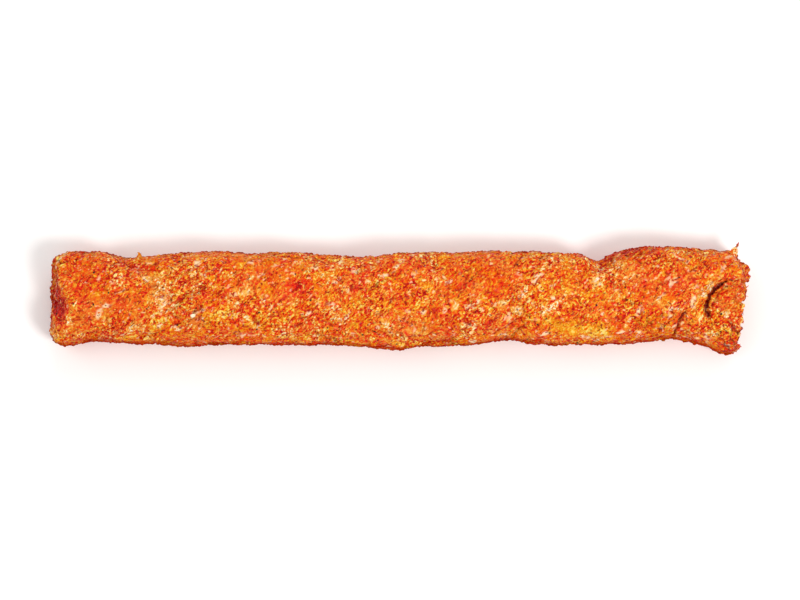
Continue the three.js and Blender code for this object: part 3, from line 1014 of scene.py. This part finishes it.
@dataclass
class MeatStrip:
    """The strip of mince itself, from the frame's solid to the finished skin."""

    pattern: MincePattern
    finish: MinceFinish
    tongues: tuple[Tongue, ...] = TONGUES
    creases: tuple[Crease, ...] = CREASES
    tints: tuple[Tint, ...] = TINTS
    round_voxel: float = 0.7
    round_passes: int = 10
    skin_voxel: float = 0.47
    skin_passes: int = 2
    weld: float = 0.001  # distance within which the solid's loose corners are one
    end_depth: float = 4.0  # how far an end face's roughness reaches back along the strip
    rag_spacing: float = 2.2
    rag_radius: float = 0.9
    rag_density: float = 400000.0  # places tried for a rag on each square metre
    rag_height: float = 1.5  # height above the floor from which there are rags
    rag_tilt: float = 0.7  # the largest, in radians
    rag_smallest: tuple[float, float, float] = (0.7, 0.5, 0.4)  # length, width and height, of the radius
    rag_largest: tuple[float, float, float] = (1.5, 0.9, 0.7)
    rag_seeds: tuple[int, int, int] = (11, 5, 6)  # of their places, turns and sizes
    grain_height: float = 0.95
    fine_height: float = 0.5
    grain_top: float = 0.35  # how far a grain's middle stands out of the smooth skin, of its height
    smooth_share: float = 0.45  # of the grains' height, where the mince is kneaded smooth
    crack_spacing: float = 7.0
    crack_width: float = 0.07  # of the spacing
    crack_depth: float = 0.55
    crack_patches: float = 4.0  # size of the places where cracks open
    crack_from: float = 0.51  # noise from which a crack starts to open
    crack_full: float = 0.61
    pit_spacing: float = 4.5
    pit_floor: float = 0.05  # of the spacing
    pit_rim: float = 0.18  # of the spacing
    pit_depth: float = 0.4
    end_size: float = 3.0  # size of the lumps on an end face
    end_height: float = 2.6
    under_share: float = 0.25  # of the relief's height, on the flat underside
    under_full: float = -0.95  # the skin's upward part at which it is the underside
    under_from: float = -0.3  # the skin's upward part from which it has its full relief
    blur_passes: int = 5  # how many rings of points round a place it is compared with, to find hollows
    torn_place: float = 96.0  # X from which the torn edge is notched at its full height
    torn_reach: float = 0.8  # how far below level the skin past there may face and still have creases
    crease_reach: float = 0.2  # the same for the rest of the strip
    reach_fade: float = 0.5  # how much further up it faces where they have their full depth
    crease_gain: float = 1.5  # over 1, so that a crease's painted shade is full before its bottom is reached
    crease_edge: float = 3.0  # how sharp the painted shade's edge is
    side_shade: float = 0.14  # how much darker painted shade makes the tone on the steep sides
    side_from: float = 0.35  # the skin's upward part under which it counts as a side
    cut_face_shade: float = 0.2  # how much darker painted shade makes the tone on the cut end face
    cut_from: float = 0.6  # the skin's part towards the cut end from which it counts as that face
    cut_fade: float = 0.3  # how much more that part is where it fully counts
    side_kneaded: float = 0.3  # how smooth the sides are kneaded
    kneaded_from: float = 0.5  # the skin's upward part under which it is kneaded smoother

    def build(self) -> bpy.types.Object:
        """Returns the finished strip."""
        material = self.finish.skin()
        core = baked(self._rounded(), "kofta_core")
        self._add_tongues(core)
        self._rags(material).put_on(core)
        even_skin(core, self.skin_voxel, self.skin_passes)
        skin = baked(core, "kofta_skin")
        self._fold_and_tint(skin)
        self._relief(material).put_on(skin)
        piece = baked(skin, "kofta_meat")
        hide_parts(NODE)
        return settle(piece)

    def _rounded(self) -> bpy.types.Object:
        """Returns a copy of the frame's solid with its facets smoothed away."""
        mesh = bpy.data.meshes.new("kofta_rounded")
        skin = bmesh.new()
        skin.from_mesh(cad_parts[NODE].data)
        bmesh.ops.remove_doubles(skin, verts=skin.verts[:], dist=mm(self.weld))
        skin.to_mesh(mesh)
        skin.free()
        copy = new_piece("kofta_rounded", mesh)
        even_skin(copy, self.round_voxel, self.round_passes)
        return copy

    def _add_tongues(self, core: bpy.types.Object) -> None:
        """Joins the large rags to the core.

        Args:
            core: The rounded strip, whose mesh is changed.
        """
        joined = bmesh.new()
        joined.from_mesh(core.data)
        for tongue in self.tongues:
            tongue.add_to(joined)
        bmesh.ops.recalc_face_normals(joined, faces=joined.faces[:])
        joined.to_mesh(core.data)
        joined.free()

    def _fold_and_tint(self, skin: bpy.types.Object) -> None:
        """Presses creases into the upper skin and notes painted shade, and where it is light, dark, oily,
        milky or smooth.

        Args:
            skin: The strip's smooth skin, whose mesh is changed.
        """
        places = rows_of(skin.data.vertices, "co") * MM_IN_METRE
        normals = rows_of(skin.data.vertex_normals, "vector")
        reach = np.where(places[:, 0] > self.torn_place, self.torn_reach, self.crease_reach)
        upper = np.clip((normals[:, 2] + reach) / self.reach_fade, 0.0, 1.0)
        dark = np.zeros(len(places))
        moved = places.copy()
        for crease in self.creases:
            near = crease.nearness(places) * upper
            moved -= normals * (crease.depth * near)[:, None]
            sharp = np.minimum(self.crease_gain * near, 1.0) ** self.crease_edge
            dark = np.maximum(dark, crease.dark * sharp)
        # Painted shade: the steep sides and the cut end face are darkened, as they get less light.
        side = np.clip((self.side_from - normals[:, 2]) / self.side_from, 0.0, 1.0)
        cut_face = np.clip((-normals[:, 0] - self.cut_from) / self.cut_fade, 0.0, 1.0)
        lighter = -self.side_shade * side - self.cut_face_shade * cut_face
        milkier = np.zeros(len(places))
        low_side = np.clip((self.kneaded_from - normals[:, 2]) / self.kneaded_from, 0.0, 1.0)
        kneaded = self.side_kneaded * low_side
        for tint in self.tints:
            near = tint.nearness(places) * upper
            lighter += tint.lighter * near
            milkier += tint.milkier * near
            kneaded = np.maximum(kneaded, tint.kneaded * near)
        skin.data.vertices.foreach_set("co", (moved / MM_IN_METRE).ravel())
        notes = {CREASE_SHADE: dark, LIGHTER: lighter, MILKIER: milkier, KNEADED: kneaded}
        for name, values in notes.items():
            skin.data.attributes.new(name, "FLOAT", "POINT").data.foreach_set("value", values)
        outward = skin.data.attributes.new(OUTWARD, "FLOAT_VECTOR", "POINT")
        outward.data.foreach_set("vector", normals.ravel())
        skin.data.update()

    def _rags(self, material: bpy.types.Material) -> Recipe:
        """Makes the recipe that sets small lumps of meat all over the torn end's face.

        Args:
            material: The skin's material.

        Returns:
            The recipe, which keeps the strip and joins the lumps to it.
        """
        sizes = {
            "End Place": STRIP_END - mm(self.end_depth),
            "Spacing": mm(self.rag_spacing),
            "Density": self.rag_density,
            "Radius": mm(self.rag_radius),
        }
        recipe = Recipe("torn_rags", sizes)
        tree, inputs = recipe.tree, recipe.inputs
        place_seed, turn_seed, size_seed = self.rag_seeds
        points = recipe.scatter(Where.TORN_END, self.rag_height, 1.0, place_seed)
        ball = {"Radius": inputs["Radius"], "Subdivisions": 2}
        scales = {"Min": self.rag_smallest, "Max": self.rag_largest, "Seed": size_seed}
        rags = {
            "Points": points,
            "Instance": add(tree, "GeometryNodeMeshIcoSphere", ball),
            "Rotation": recipe.tilted(points, self.rag_tilt, turn_seed),
            "Scale": add(tree, "FunctionNodeRandomValue", scales, data_type="FLOAT_VECTOR"),
        }
        set_rags = add(tree, "GeometryNodeInstanceOnPoints", rags)
        joined = add(tree, "GeometryNodeJoinGeometry", {0: inputs["Geometry"]})
        tree.links.new(set_rags.outputs[0], joined.inputs[0])
        recipe.finish(joined, material)
        return recipe

    def _relief(self, material: bpy.types.Material) -> Recipe:
        """Makes the recipe that gives the skin the grains, cracks and pits of mince, without loose tips.

        Args:
            material: The skin's material.

        Returns:
            The recipe.
        """
        sizes = {
            "Grain Height": mm(self.grain_height),
            "Fine Height": mm(self.fine_height),
            "Crack Depth": mm(self.crack_depth),
            "Pit Depth": mm(self.pit_depth),
            "End Height": mm(self.end_height),
            "End Place": STRIP_END - mm(self.end_depth),
        }
        recipe = Recipe("mince_relief", sizes)
        tree, inputs = recipe.tree, recipe.inputs
        place = add(tree, "GeometryNodeInputPosition")
        normal = add(tree, "GeometryNodeInputNormal")
        strands = self.pattern.lay(tree, place)
        height = self._grains(recipe, place, strands)
        height = self._cracks(recipe, place, strands, height)
        height = self._pits(recipe, strands, height)
        height = self._torn(recipe, place, height)
        upward = add(tree, "ShaderNodeSeparateXYZ", {0: normal}).outputs["Z"]
        under = {"Value": upward, "From Min": self.under_full, "From Max": self.under_from}
        free = add(tree, "ShaderNodeMapRange", under | {"To Min": self.under_share})
        height = add(tree, "ShaderNodeMath", {0: height, 1: free}, operation="MULTIPLY")
        hollow = self._hollow(tree, height)
        island = add(tree, "GeometryNodeInputMeshIsland").outputs["Island Index"]
        broken_off = add(tree, "ShaderNodeMath", {0: island, 1: 0.5}, operation="GREATER_THAN")
        whole = {"Geometry": inputs["Geometry"], "Selection": broken_off}
        kept = add(tree, "GeometryNodeDeleteGeometry", whole)
        for name, value, kind in ((REST, place, "FLOAT_VECTOR"), (HOLLOW, hollow, "FLOAT")):
            note = {"Geometry": kept, "Name": name, "Value": value}
            kept = add(tree, "GeometryNodeStoreNamedAttribute", note, data_type=kind, domain="POINT")
        shift = add(tree, "ShaderNodeVectorMath", {0: normal, "Scale": height}, operation="SCALE")
        moved = add(tree, "ShaderNodeVectorMath", {0: place, 1: shift}, operation="ADD")
        parts = add(tree, "ShaderNodeSeparateXYZ", {0: moved}).outputs
        laid = add(tree, "ShaderNodeMath", {0: parts["Z"], 1: mm(LIFT)}, operation="MAXIMUM")
        final = add(tree, "ShaderNodeCombineXYZ", {0: parts["X"], 1: parts["Y"], 2: laid})
        placed = add(tree, "GeometryNodeSetPosition", {"Geometry": kept, "Position": final})
        recipe.finish(placed, material)
        return recipe

    def _hollow(self, tree: bpy.types.NodeTree, height: Any) -> Any:
        """Finds how far the relief lies below what is all round it.

        Args:
            tree: The relief's node tree.
            height: The node that gives the relief's height.

        Returns:
            The node that gives the depth in millimetres, which is below 0 on a grain.
        """
        blur = {"Value": height, "Iterations": self.blur_passes}
        around = add(tree, "GeometryNodeBlurAttribute", blur, data_type="FLOAT")
        hollow = add(tree, "ShaderNodeMath", {0: around, 1: height}, operation="SUBTRACT")
        return add(tree, "ShaderNodeMath", {0: hollow, 1: MM_IN_METRE}, operation="MULTIPLY")

    def _grains(self, recipe: Recipe, place: Any, strands: Any) -> Any:
        """Raises the round tops of coarse and fine grains, flatter where the mince is kneaded smooth.

        Args:
            recipe: The relief's recipe.
            place: The node that gives the place.
            strands: The same place, bent along the strands of mince.

        Returns:
            The node that gives the height.
        """
        tree, inputs = recipe.tree, recipe.inputs
        height = 0.0
        coarse = (self.pattern.grain_size, "Grain Height")
        for size, amount in (coarse, (self.pattern.fine_size, "Fine Height")):
            cell = add(tree, "ShaderNodeTexVoronoi", {"Vector": strands, "Scale": per_mm(size)})
            square = add(tree, "ShaderNodeMath", {0: cell, 1: cell}, operation="MULTIPLY")
            dome = add(tree, "ShaderNodeMath", {0: self.grain_top, 1: square}, operation="SUBTRACT")
            raised = {0: dome, 1: inputs[amount], 2: height}
            height = add(tree, "ShaderNodeMath", raised, operation="MULTIPLY_ADD")
        granular = self.pattern.granular(tree, place, self.smooth_share)
        return add(tree, "ShaderNodeMath", {0: height, 1: granular}, operation="MULTIPLY")

    def _cracks(self, recipe: Recipe, place: Any, strands: Any, height: Any) -> Any:
        """Opens short cracks between lumps, in a part of the places where lumps meet.

        Args:
            recipe: The relief's recipe.
            place: The node that gives the place.
            strands: The same place, bent along the strands of mince.
            height: The node that gives the height so far.

        Returns:
            The node that gives the new height.
        """
        tree, inputs = recipe.tree, recipe.inputs
        lumps = {"Vector": strands, "Scale": per_mm(self.crack_spacing)}
        edge = add(tree, "ShaderNodeTexVoronoi", lumps, feature="DISTANCE_TO_EDGE")
        narrow = {"Value": edge, "From Max": self.crack_width, "To Min": 1.0, "To Max": 0.0}
        line = add(tree, "ShaderNodeMapRange", narrow, interpolation_type="SMOOTHSTEP")
        patches = {"Vector": place, "Scale": per_mm(self.crack_patches), "Detail": 1.0}
        opened = add(tree, "ShaderNodeTexNoise", patches)
        few = {"Value": opened, "From Min": self.crack_from, "From Max": self.crack_full}
        gate = add(tree, "ShaderNodeMapRange", few, interpolation_type="SMOOTHSTEP")
        crack = add(tree, "ShaderNodeMath", {0: line, 1: gate}, operation="MULTIPLY")
        crack = add(tree, "ShaderNodeMath", {0: crack, 1: inputs["Crack Depth"]}, operation="MULTIPLY")
        return add(tree, "ShaderNodeMath", {0: height, 1: crack}, operation="SUBTRACT")

    def _pits(self, recipe: Recipe, strands: Any, height: Any) -> Any:
        """Sinks small pits where air was trapped.

        Args:
            recipe: The relief's recipe.
            strands: The place, bent along the strands of mince.
            height: The node that gives the height so far.

        Returns:
            The node that gives the new height.
        """
        tree, inputs = recipe.tree, recipe.inputs
        hole = add(tree, "ShaderNodeTexVoronoi", {"Vector": strands, "Scale": per_mm(self.pit_spacing)})
        bowl = {"Value": hole, "From Min": self.pit_floor, "From Max": self.pit_rim}
        sunk = bowl | {"To Min": 1.0, "To Max": 0.0}
        pit = add(tree, "ShaderNodeMapRange", sunk, interpolation_type="SMOOTHSTEP")
        pit = add(tree, "ShaderNodeMath", {0: pit, 1: inputs["Pit Depth"]}, operation="MULTIPLY")
        return add(tree, "ShaderNodeMath", {0: height, 1: pit}, operation="SUBTRACT")

    def _torn(self, recipe: Recipe, place: Any, height: Any) -> Any:
        """Roughens both end faces.

        Args:
            recipe: The relief's recipe.
            place: The node that gives the place.
            height: The node that gives the height so far.

        Returns:
            The node that gives the new height.
        """
        tree, inputs = recipe.tree, recipe.inputs
        along = add(tree, "ShaderNodeSeparateXYZ", {0: place})
        out = add(tree, "ShaderNodeMath", {0: along}, operation="ABSOLUTE")
        reach = {"Value": out, "From Min": inputs["End Place"], "From Max": STRIP_END}
        past = add(tree, "ShaderNodeMapRange", reach, interpolation_type="SMOOTHSTEP")
        rough = {"Vector": place, "Scale": per_mm(self.end_size), "Detail": 3.0, "Roughness": 0.6}
        noise = add(tree, "ShaderNodeTexNoise", rough)
        torn = add(tree, "ShaderNodeMath", {0: noise, 1: MIDDLE}, operation="SUBTRACT")
        torn = add(tree, "ShaderNodeMath", {0: torn, 1: past}, operation="MULTIPLY")
        raised = {0: torn, 1: inputs["End Height"], 2: height}
        return add(tree, "ShaderNodeMath", raised, operation="MULTIPLY_ADD")


@dataclass(frozen=True)
class Scattered:
    """Small bits of one kind, scattered over the skin as one piece of their own."""

    name: str
    spacing: float  # least distance between two
    share: float  # of the places that the spacing leaves
    seed: int  # of their places, with the next three for their turns, sizes and shades

    def build(
        self, skin: bpy.types.Object, pattern: MincePattern, material: bpy.types.Material
    ) -> bpy.types.Object:
        """Scatters the bits over the skin.

        Args:
            skin: The finished strip.
            pattern: The pattern that gives the way of the strands.
            material: The bits' material.

        Returns:
            The bits as one piece.
        """
        holder = new_piece(self.name, skin.data.copy())
        recipe = Recipe(self.name, self.sizes())
        recipe.finish(self.bits(recipe, pattern), material)
        recipe.put_on(holder)
        return settle(baked(holder, self.name))

    def sizes(self) -> dict[str, float]:
        """Returns the named sizes that the recipe takes."""
        density = PLACES_TRIED / mm(self.spacing) ** 2
        return {"Spacing": mm(self.spacing), "Density": density, "Share": self.share}

    def bits(self, recipe: Recipe, pattern: MincePattern) -> Any:
        """Makes the bits.

        Args:
            recipe: The recipe that turns the skin into the bits alone.
            pattern: The pattern that gives the way of the strands.

        Returns:
            The node that gives the bits.
        """
        raise NotImplementedError


@dataclass(frozen=True)
class Crumbs(Scattered):
    """Small lumps of one kind, drawn out along the strands of mince."""

    smallest: tuple[float, float, float]  # length, width and height
    largest: tuple[float, float, float]
    sink: float  # how far the middle lies under the skin
    rounding: int  # 1 is 20 faces and 2 is 80
    cluster_size: float = 7.0
    cluster: tuple[float, float] = (0.4, 0.6)  # noise at which clusters start, and from which they are full
    lowest: float = 1.0  # height above the floor from which they lie
    stray: tuple[float, float, float] = (0.7, 0.7, 0.5)  # how far they turn away from the strands
    unevenness: float = 0.6  # of the width
    smooth_share: float = 0.3  # of the lumps, where the mince is kneaded smooth

    def sizes(self) -> dict[str, float]:
        """Returns the named sizes that the recipe takes."""
        return super().sizes() | {"Sink": mm(self.sink)}

    def bits(self, recipe: Recipe, pattern: MincePattern) -> Any:
        """Makes the lumps.

        Args:
            recipe: The recipe that turns the skin into the lumps alone.
            pattern: The pattern that gives the way of the strands.

        Returns:
            The node that gives the lumps.
        """
        tree = recipe.tree
        points = recipe.scatter(Where.ALL_OVER, self.lowest, self._density(recipe, pattern), self.seed)
        angle = math.radians(pattern.strand_angle)
        strand = (math.cos(angle), math.sin(angle), 0.0)
        strays = {"Min": tuple(-part for part in self.stray), "Max": self.stray, "Seed": self.seed + 1}
        stray = add(tree, "FunctionNodeRandomValue", strays, data_type="FLOAT_VECTOR")
        way = add(tree, "ShaderNodeVectorMath", {0: stray, 1: strand}, operation="ADD")
        aim = {"Rotation": points.outputs["Rotation"], "Vector": way}
        smallest, largest = (tuple(mm(size) for size in sizes) for sizes in (self.smallest, self.largest))
        scales = {"Min": smallest, "Max": largest, "Seed": self.seed + 2}
        ball = {"Radius": 0.5, "Subdivisions": self.rounding}
        lumps = {
            "Points": points,
            "Instance": add(tree, "GeometryNodeMeshIcoSphere", ball),
            "Rotation": add(tree, "FunctionNodeAlignRotationToVector", aim, axis="X", pivot_axis="Z"),
            "Scale": add(tree, "FunctionNodeRandomValue", scales, data_type="FLOAT_VECTOR"),
        }
        placed = add(tree, "GeometryNodeInstanceOnPoints", lumps)
        down = add(tree, "ShaderNodeMath", {0: recipe.inputs["Sink"], 1: -1.0}, operation="MULTIPLY")
        under = {"Instances": placed, "Translation": add(tree, "ShaderNodeCombineXYZ", {2: down})}
        sunk = add(tree, "GeometryNodeTranslateInstances", under)
        real = add(tree, "GeometryNodeRealizeInstances", {"Geometry": recipe.toned(sunk, self.seed + 3)})
        return self._misshapen(recipe, real)

    def _density(self, recipe: Recipe, pattern: MincePattern) -> Any:
        """Thins the lumps out between their clusters and where the mince is kneaded smooth.

        Args:
            recipe: The lumps' recipe.
            pattern: The pattern that says where the mince is smooth.

        Returns:
            The node that gives the share of the places that get a lump.
        """
        tree = recipe.tree
        place = add(tree, "GeometryNodeInputPosition")
        flock = {"Vector": place, "W": float(self.seed), "Scale": per_mm(self.cluster_size), "Detail": 1.0}
        noise = add(tree, "ShaderNodeTexNoise", flock, noise_dimensions="4D")
        band = {"Value": noise, "From Min": self.cluster[0], "From Max": self.cluster[1]}
        density = add(tree, "ShaderNodeMapRange", band)
        density = add(tree, "ShaderNodeMath", {0: density, 1: recipe.inputs["Share"]}, operation="MULTIPLY")
        granular = pattern.granular(tree, place, self.smooth_share)
        return add(tree, "ShaderNodeMath", {0: density, 1: granular}, operation="MULTIPLY")

    def _misshapen(self, recipe: Recipe, lumps: Any) -> Any:
        """Makes each lump uneven, and keeps it above the floor.

        Args:
            recipe: The lumps' recipe.
            lumps: The node that gives the round lumps.

        Returns:
            The node that gives the uneven ones.
        """
        tree = recipe.tree
        place = add(tree, "GeometryNodeInputPosition")
        width = (self.smallest[1] + self.largest[1]) / 2
        noise = add(tree, "ShaderNodeTexNoise", {"Vector": place, "Scale": per_mm(width), "Detail": 1.0})
        centred = {0: noise.outputs["Color"], 1: MIDDLES}
        push = add(tree, "ShaderNodeVectorMath", centred, operation="SUBTRACT")
        amount = (mm(width) * self.unevenness,) * 3
        moved = add(tree, "ShaderNodeVectorMath", {0: push, 1: amount, 2: place}, operation="MULTIPLY_ADD")
        floor = (-1.0, -1.0, mm(LIFT))
        kept = add(tree, "ShaderNodeVectorMath", {0: moved, 1: floor}, operation="MAXIMUM")
        return add(tree, "GeometryNodeSetPosition", {"Geometry": lumps, "Position": kept})


@dataclass(frozen=True)
class Fibres(Scattered):
    """Thin torn strands of meat that stand out of the skin, each one curved and pointed."""

    where: Where
    length: float
    thickness: float
    steps: int = 7
    sides: int = 5
    lowest: float = 2.5  # height above the floor from which they stand
    end_depth: float = 5.0  # how far from the strip's end the torn end reaches
    tilt: float = 1.3  # the largest, in radians
    shortest: float = 0.4  # of the length
    longest: float = 1.2  # of the length
    sunk: float = 0.6  # how far the root lies under the skin
    bend: float = 0.6  # of the length, where the strand bends
    lean: float = 0.45  # of the length, how far its tip lies to the side
    tip: float = 0.15  # of the thickness

    def sizes(self) -> dict[str, float]:
        """Returns the named sizes that the recipe takes."""
        own = {"Length": mm(self.length), "Thickness": mm(self.thickness)}
        return super().sizes() | own | {"End Place": STRIP_END - mm(self.end_depth)}

    def bits(self, recipe: Recipe, pattern: MincePattern) -> Any:
        """Makes the strands.

        Args:
            recipe: The recipe that turns the skin into the strands alone.
            pattern: The mince's pattern, which torn strands don't follow.

        Returns:
            The node that gives the strands.
        """
        tree = recipe.tree
        points = recipe.scatter(self.where, self.lowest, recipe.inputs["Share"], self.seed)
        scales = {"Min": self.shortest, "Max": self.longest, "Seed": self.seed + 2}
        strands = {
            "Points": points,
            "Instance": self._strand(recipe),
            "Rotation": recipe.tilted(points, self.tilt, self.seed + 1),
            "Scale": add(tree, "FunctionNodeRandomValue", scales, data_type="FLOAT"),
        }
        placed = add(tree, "GeometryNodeInstanceOnPoints", strands)
        return recipe.toned(placed, self.seed + 3)

    def _strand(self, recipe: Recipe) -> Any:
        """Makes one strand, which rises from the origin, bends and tapers.

        Args:
            recipe: The strands' recipe.

        Returns:
            The node that gives its mesh.
        """
        tree, inputs = recipe.tree, recipe.inputs
        half_way = add(tree, "ShaderNodeMath", {0: inputs["Length"], 1: self.bend}, operation="MULTIPLY")
        aside = add(tree, "ShaderNodeMath", {0: inputs["Length"], 1: self.lean}, operation="MULTIPLY")
        bend = {
            "Resolution": self.steps,
            "Start": (0.0, 0.0, mm(-self.sunk)),
            "Middle": add(tree, "ShaderNodeCombineXYZ", {2: half_way}),
            "End": add(tree, "ShaderNodeCombineXYZ", {0: aside, 2: inputs["Length"]}),
        }
        spine = add(tree, "GeometryNodeCurveQuadraticBezier", bend)
        along = add(tree, "GeometryNodeSplineParameter").outputs["Factor"]
        taper = add(tree, "ShaderNodeMapRange", {"Value": along, "To Min": 1.0, "To Max": self.tip})
        radius = add(tree, "ShaderNodeMath", {0: inputs["Thickness"], 1: 0.5}, operation="MULTIPLY")
        outline = {"Resolution": self.sides, "Radius": radius}
        ring = add(tree, "GeometryNodeCurvePrimitiveCircle", outline).outputs["Curve"]
        tube = {"Curve": spine, "Profile Curve": ring, "Scale": taper, "Fill Caps": True}
        return add(tree, "GeometryNodeCurveToMesh", tube)


@dataclass(frozen=True)
class SoftLight:
    """A square soft light that faces the strip."""

    name: str
    place: tuple[float, float, float]  # in metres
    width: float  # in metres
    power: float  # in watts

    def build(self) -> None:
        """Makes the light."""
        data = bpy.data.lights.new(self.name, "AREA")
        data.size = self.width
        data.energy = self.power
        light = bpy.data.objects.new(self.name, data)
        place = Vector(self.place)
        light.location = place
        light.rotation_euler = (-place).to_track_quat("-Z", "Y").to_euler()
        bpy.context.scene.collection.objects.link(light)


@dataclass
class Studio:
    """The pale floor, the soft lights and the camera."""

    floor_colour: str = "#fbfaf8"
    lens: float = 120.0
    elevation: float = 83.0  # degrees above the horizon, from the -Y side
    share: float = 0.88  # of the view's width that the strip takes
    sensor: float = 36.0
    world_strength: float = 0.52
    floor_width: float = 4.0  # in metres
    floor_roughness: float = 0.8
    lights: tuple[SoftLight, ...] = (
        SoftLight("key", (0.4, -0.35, 0.75), 0.25, 4.5),
        SoftLight("fill", (-0.6, 0.1, 0.75), 0.7, 2.45),
        SoftLight("back", (0.15, 0.8, 0.6), 0.7, 2.65),
    )

    def build(self) -> None:
        """Makes the floor, the lights, the world and the camera."""
        self._floor()
        for light in self.lights:
            light.build()
        world = bpy.data.worlds.new("studio")
        world.use_nodes = True
        background = next(n for n in world.node_tree.nodes if n.type == "BACKGROUND")
        background.inputs["Color"].default_value = linear("#ffffff")
        background.inputs["Strength"].default_value = self.world_strength
        bpy.context.scene.world = world
        bpy.context.scene.view_settings.view_transform = "Standard"
        bpy.context.scene.view_settings.look = "None"
        self._camera()

    def _floor(self) -> None:
        """Makes a wide floor of matt white board, which has no sheen."""
        mesh = bpy.data.meshes.new("floor")
        half = self.floor_width / 2
        corners = [(-half, -half, 0.0), (half, -half, 0.0), (half, half, 0.0), (-half, half, 0.0)]
        mesh.from_pydata(corners, [], [(0, 1, 2, 3)])
        material, tree = new_material("matt_white_board")
        skin = {"Base Color": linear(self.floor_colour), "Roughness": self.floor_roughness}
        add(tree, "ShaderNodeOutputMaterial", {"Surface": add(tree, "ShaderNodeBsdfPrincipled", skin)})
        mesh.materials.append(material)
        new_piece("floor", mesh)

    def _camera(self) -> None:
        """Makes the camera, which looks down on the strip."""
        low, high = CAD_BOX
        distance = (high.x - low.x) / self.share * self.lens / self.sensor
        tilt = math.radians(self.elevation)
        data = bpy.data.cameras.new("camera")
        data.lens = self.lens
        data.sensor_width = self.sensor
        camera = bpy.data.objects.new("camera", data)
        back = Vector((0.0, -math.cos(tilt), math.sin(tilt)))
        camera.location = (low + high) / 2 + back * distance
        camera.rotation_euler = (-back).to_track_quat("-Z", "Y").to_euler()
        bpy.context.scene.collection.objects.link(camera)
        bpy.context.scene.camera = camera


GRAINS = Crumbs(
    "meat_grains",
    spacing=0.85,
    share=1.0,
    seed=21,
    smallest=(0.5, 0.35, 0.3),
    largest=(1.3, 0.8, 0.6),
    sink=0.12,
    rounding=1,
    cluster_size=9.0,
    cluster=(0.2, 0.45),
)
FAT = Crumbs(
    "fat_flecks",
    spacing=1.8,
    share=0.9,
    seed=41,
    smallest=(0.8, 0.5, 0.45),
    largest=(2.1, 1.15, 0.8),
    sink=0.24,
    rounding=2,
    cluster_size=6.0,
    cluster=(0.45, 0.6),
)
SHREDS = Crumbs(
    "lean_shreds",
    spacing=1.5,
    share=0.8,
    seed=51,
    smallest=(0.6, 0.3, 0.25),
    largest=(1.6, 0.6, 0.5),
    sink=0.1,
    rounding=1,
    cluster_size=5.0,
    cluster=(0.4, 0.6),
)
SPECKS = Crumbs(
    "spice_specks",
    spacing=2.6,
    share=0.6,
    seed=61,
    smallest=(0.3, 0.25, 0.2),
    largest=(0.9, 0.65, 0.45),
    sink=0.05,
    rounding=1,
)
TORN_FIBRES = Fibres(
    "torn_fibres",
    spacing=1.4,
    share=0.5,
    seed=81,
    where=Where.TORN_END,
    length=1.3,
    thickness=0.5,
)


def main() -> None:
    """Builds the strip, what lies in it and the studio, and reports each piece."""
    logging.basicConfig(level=logging.INFO, format="%(name)s: %(message)s")
    pattern = MincePattern()
    finish = MinceFinish(pattern)
    skin = MeatStrip(pattern, finish).build()
    # Lumps of the paste itself, milky bits of fat that stand out pale, and darker red shreds of lean meat.
    GRAINS.build(skin, pattern, finish.crumbs("kneaded_meat_grains", lighter=0.0, own_share=0.28))
    FAT.build(skin, pattern, finish.crumbs("beef_fat_flecks", lighter=0.24, own_share=0.35))
    SHREDS.build(skin, pattern, finish.crumbs("lean_meat_shreds", lighter=-0.26, own_share=0.3))
    SPECKS.build(skin, pattern, SPICE.material())
    TORN_FIBRES.build(skin, pattern, FIBRE.material())
    Studio().build()


if __name__ == "__main__":
    main()
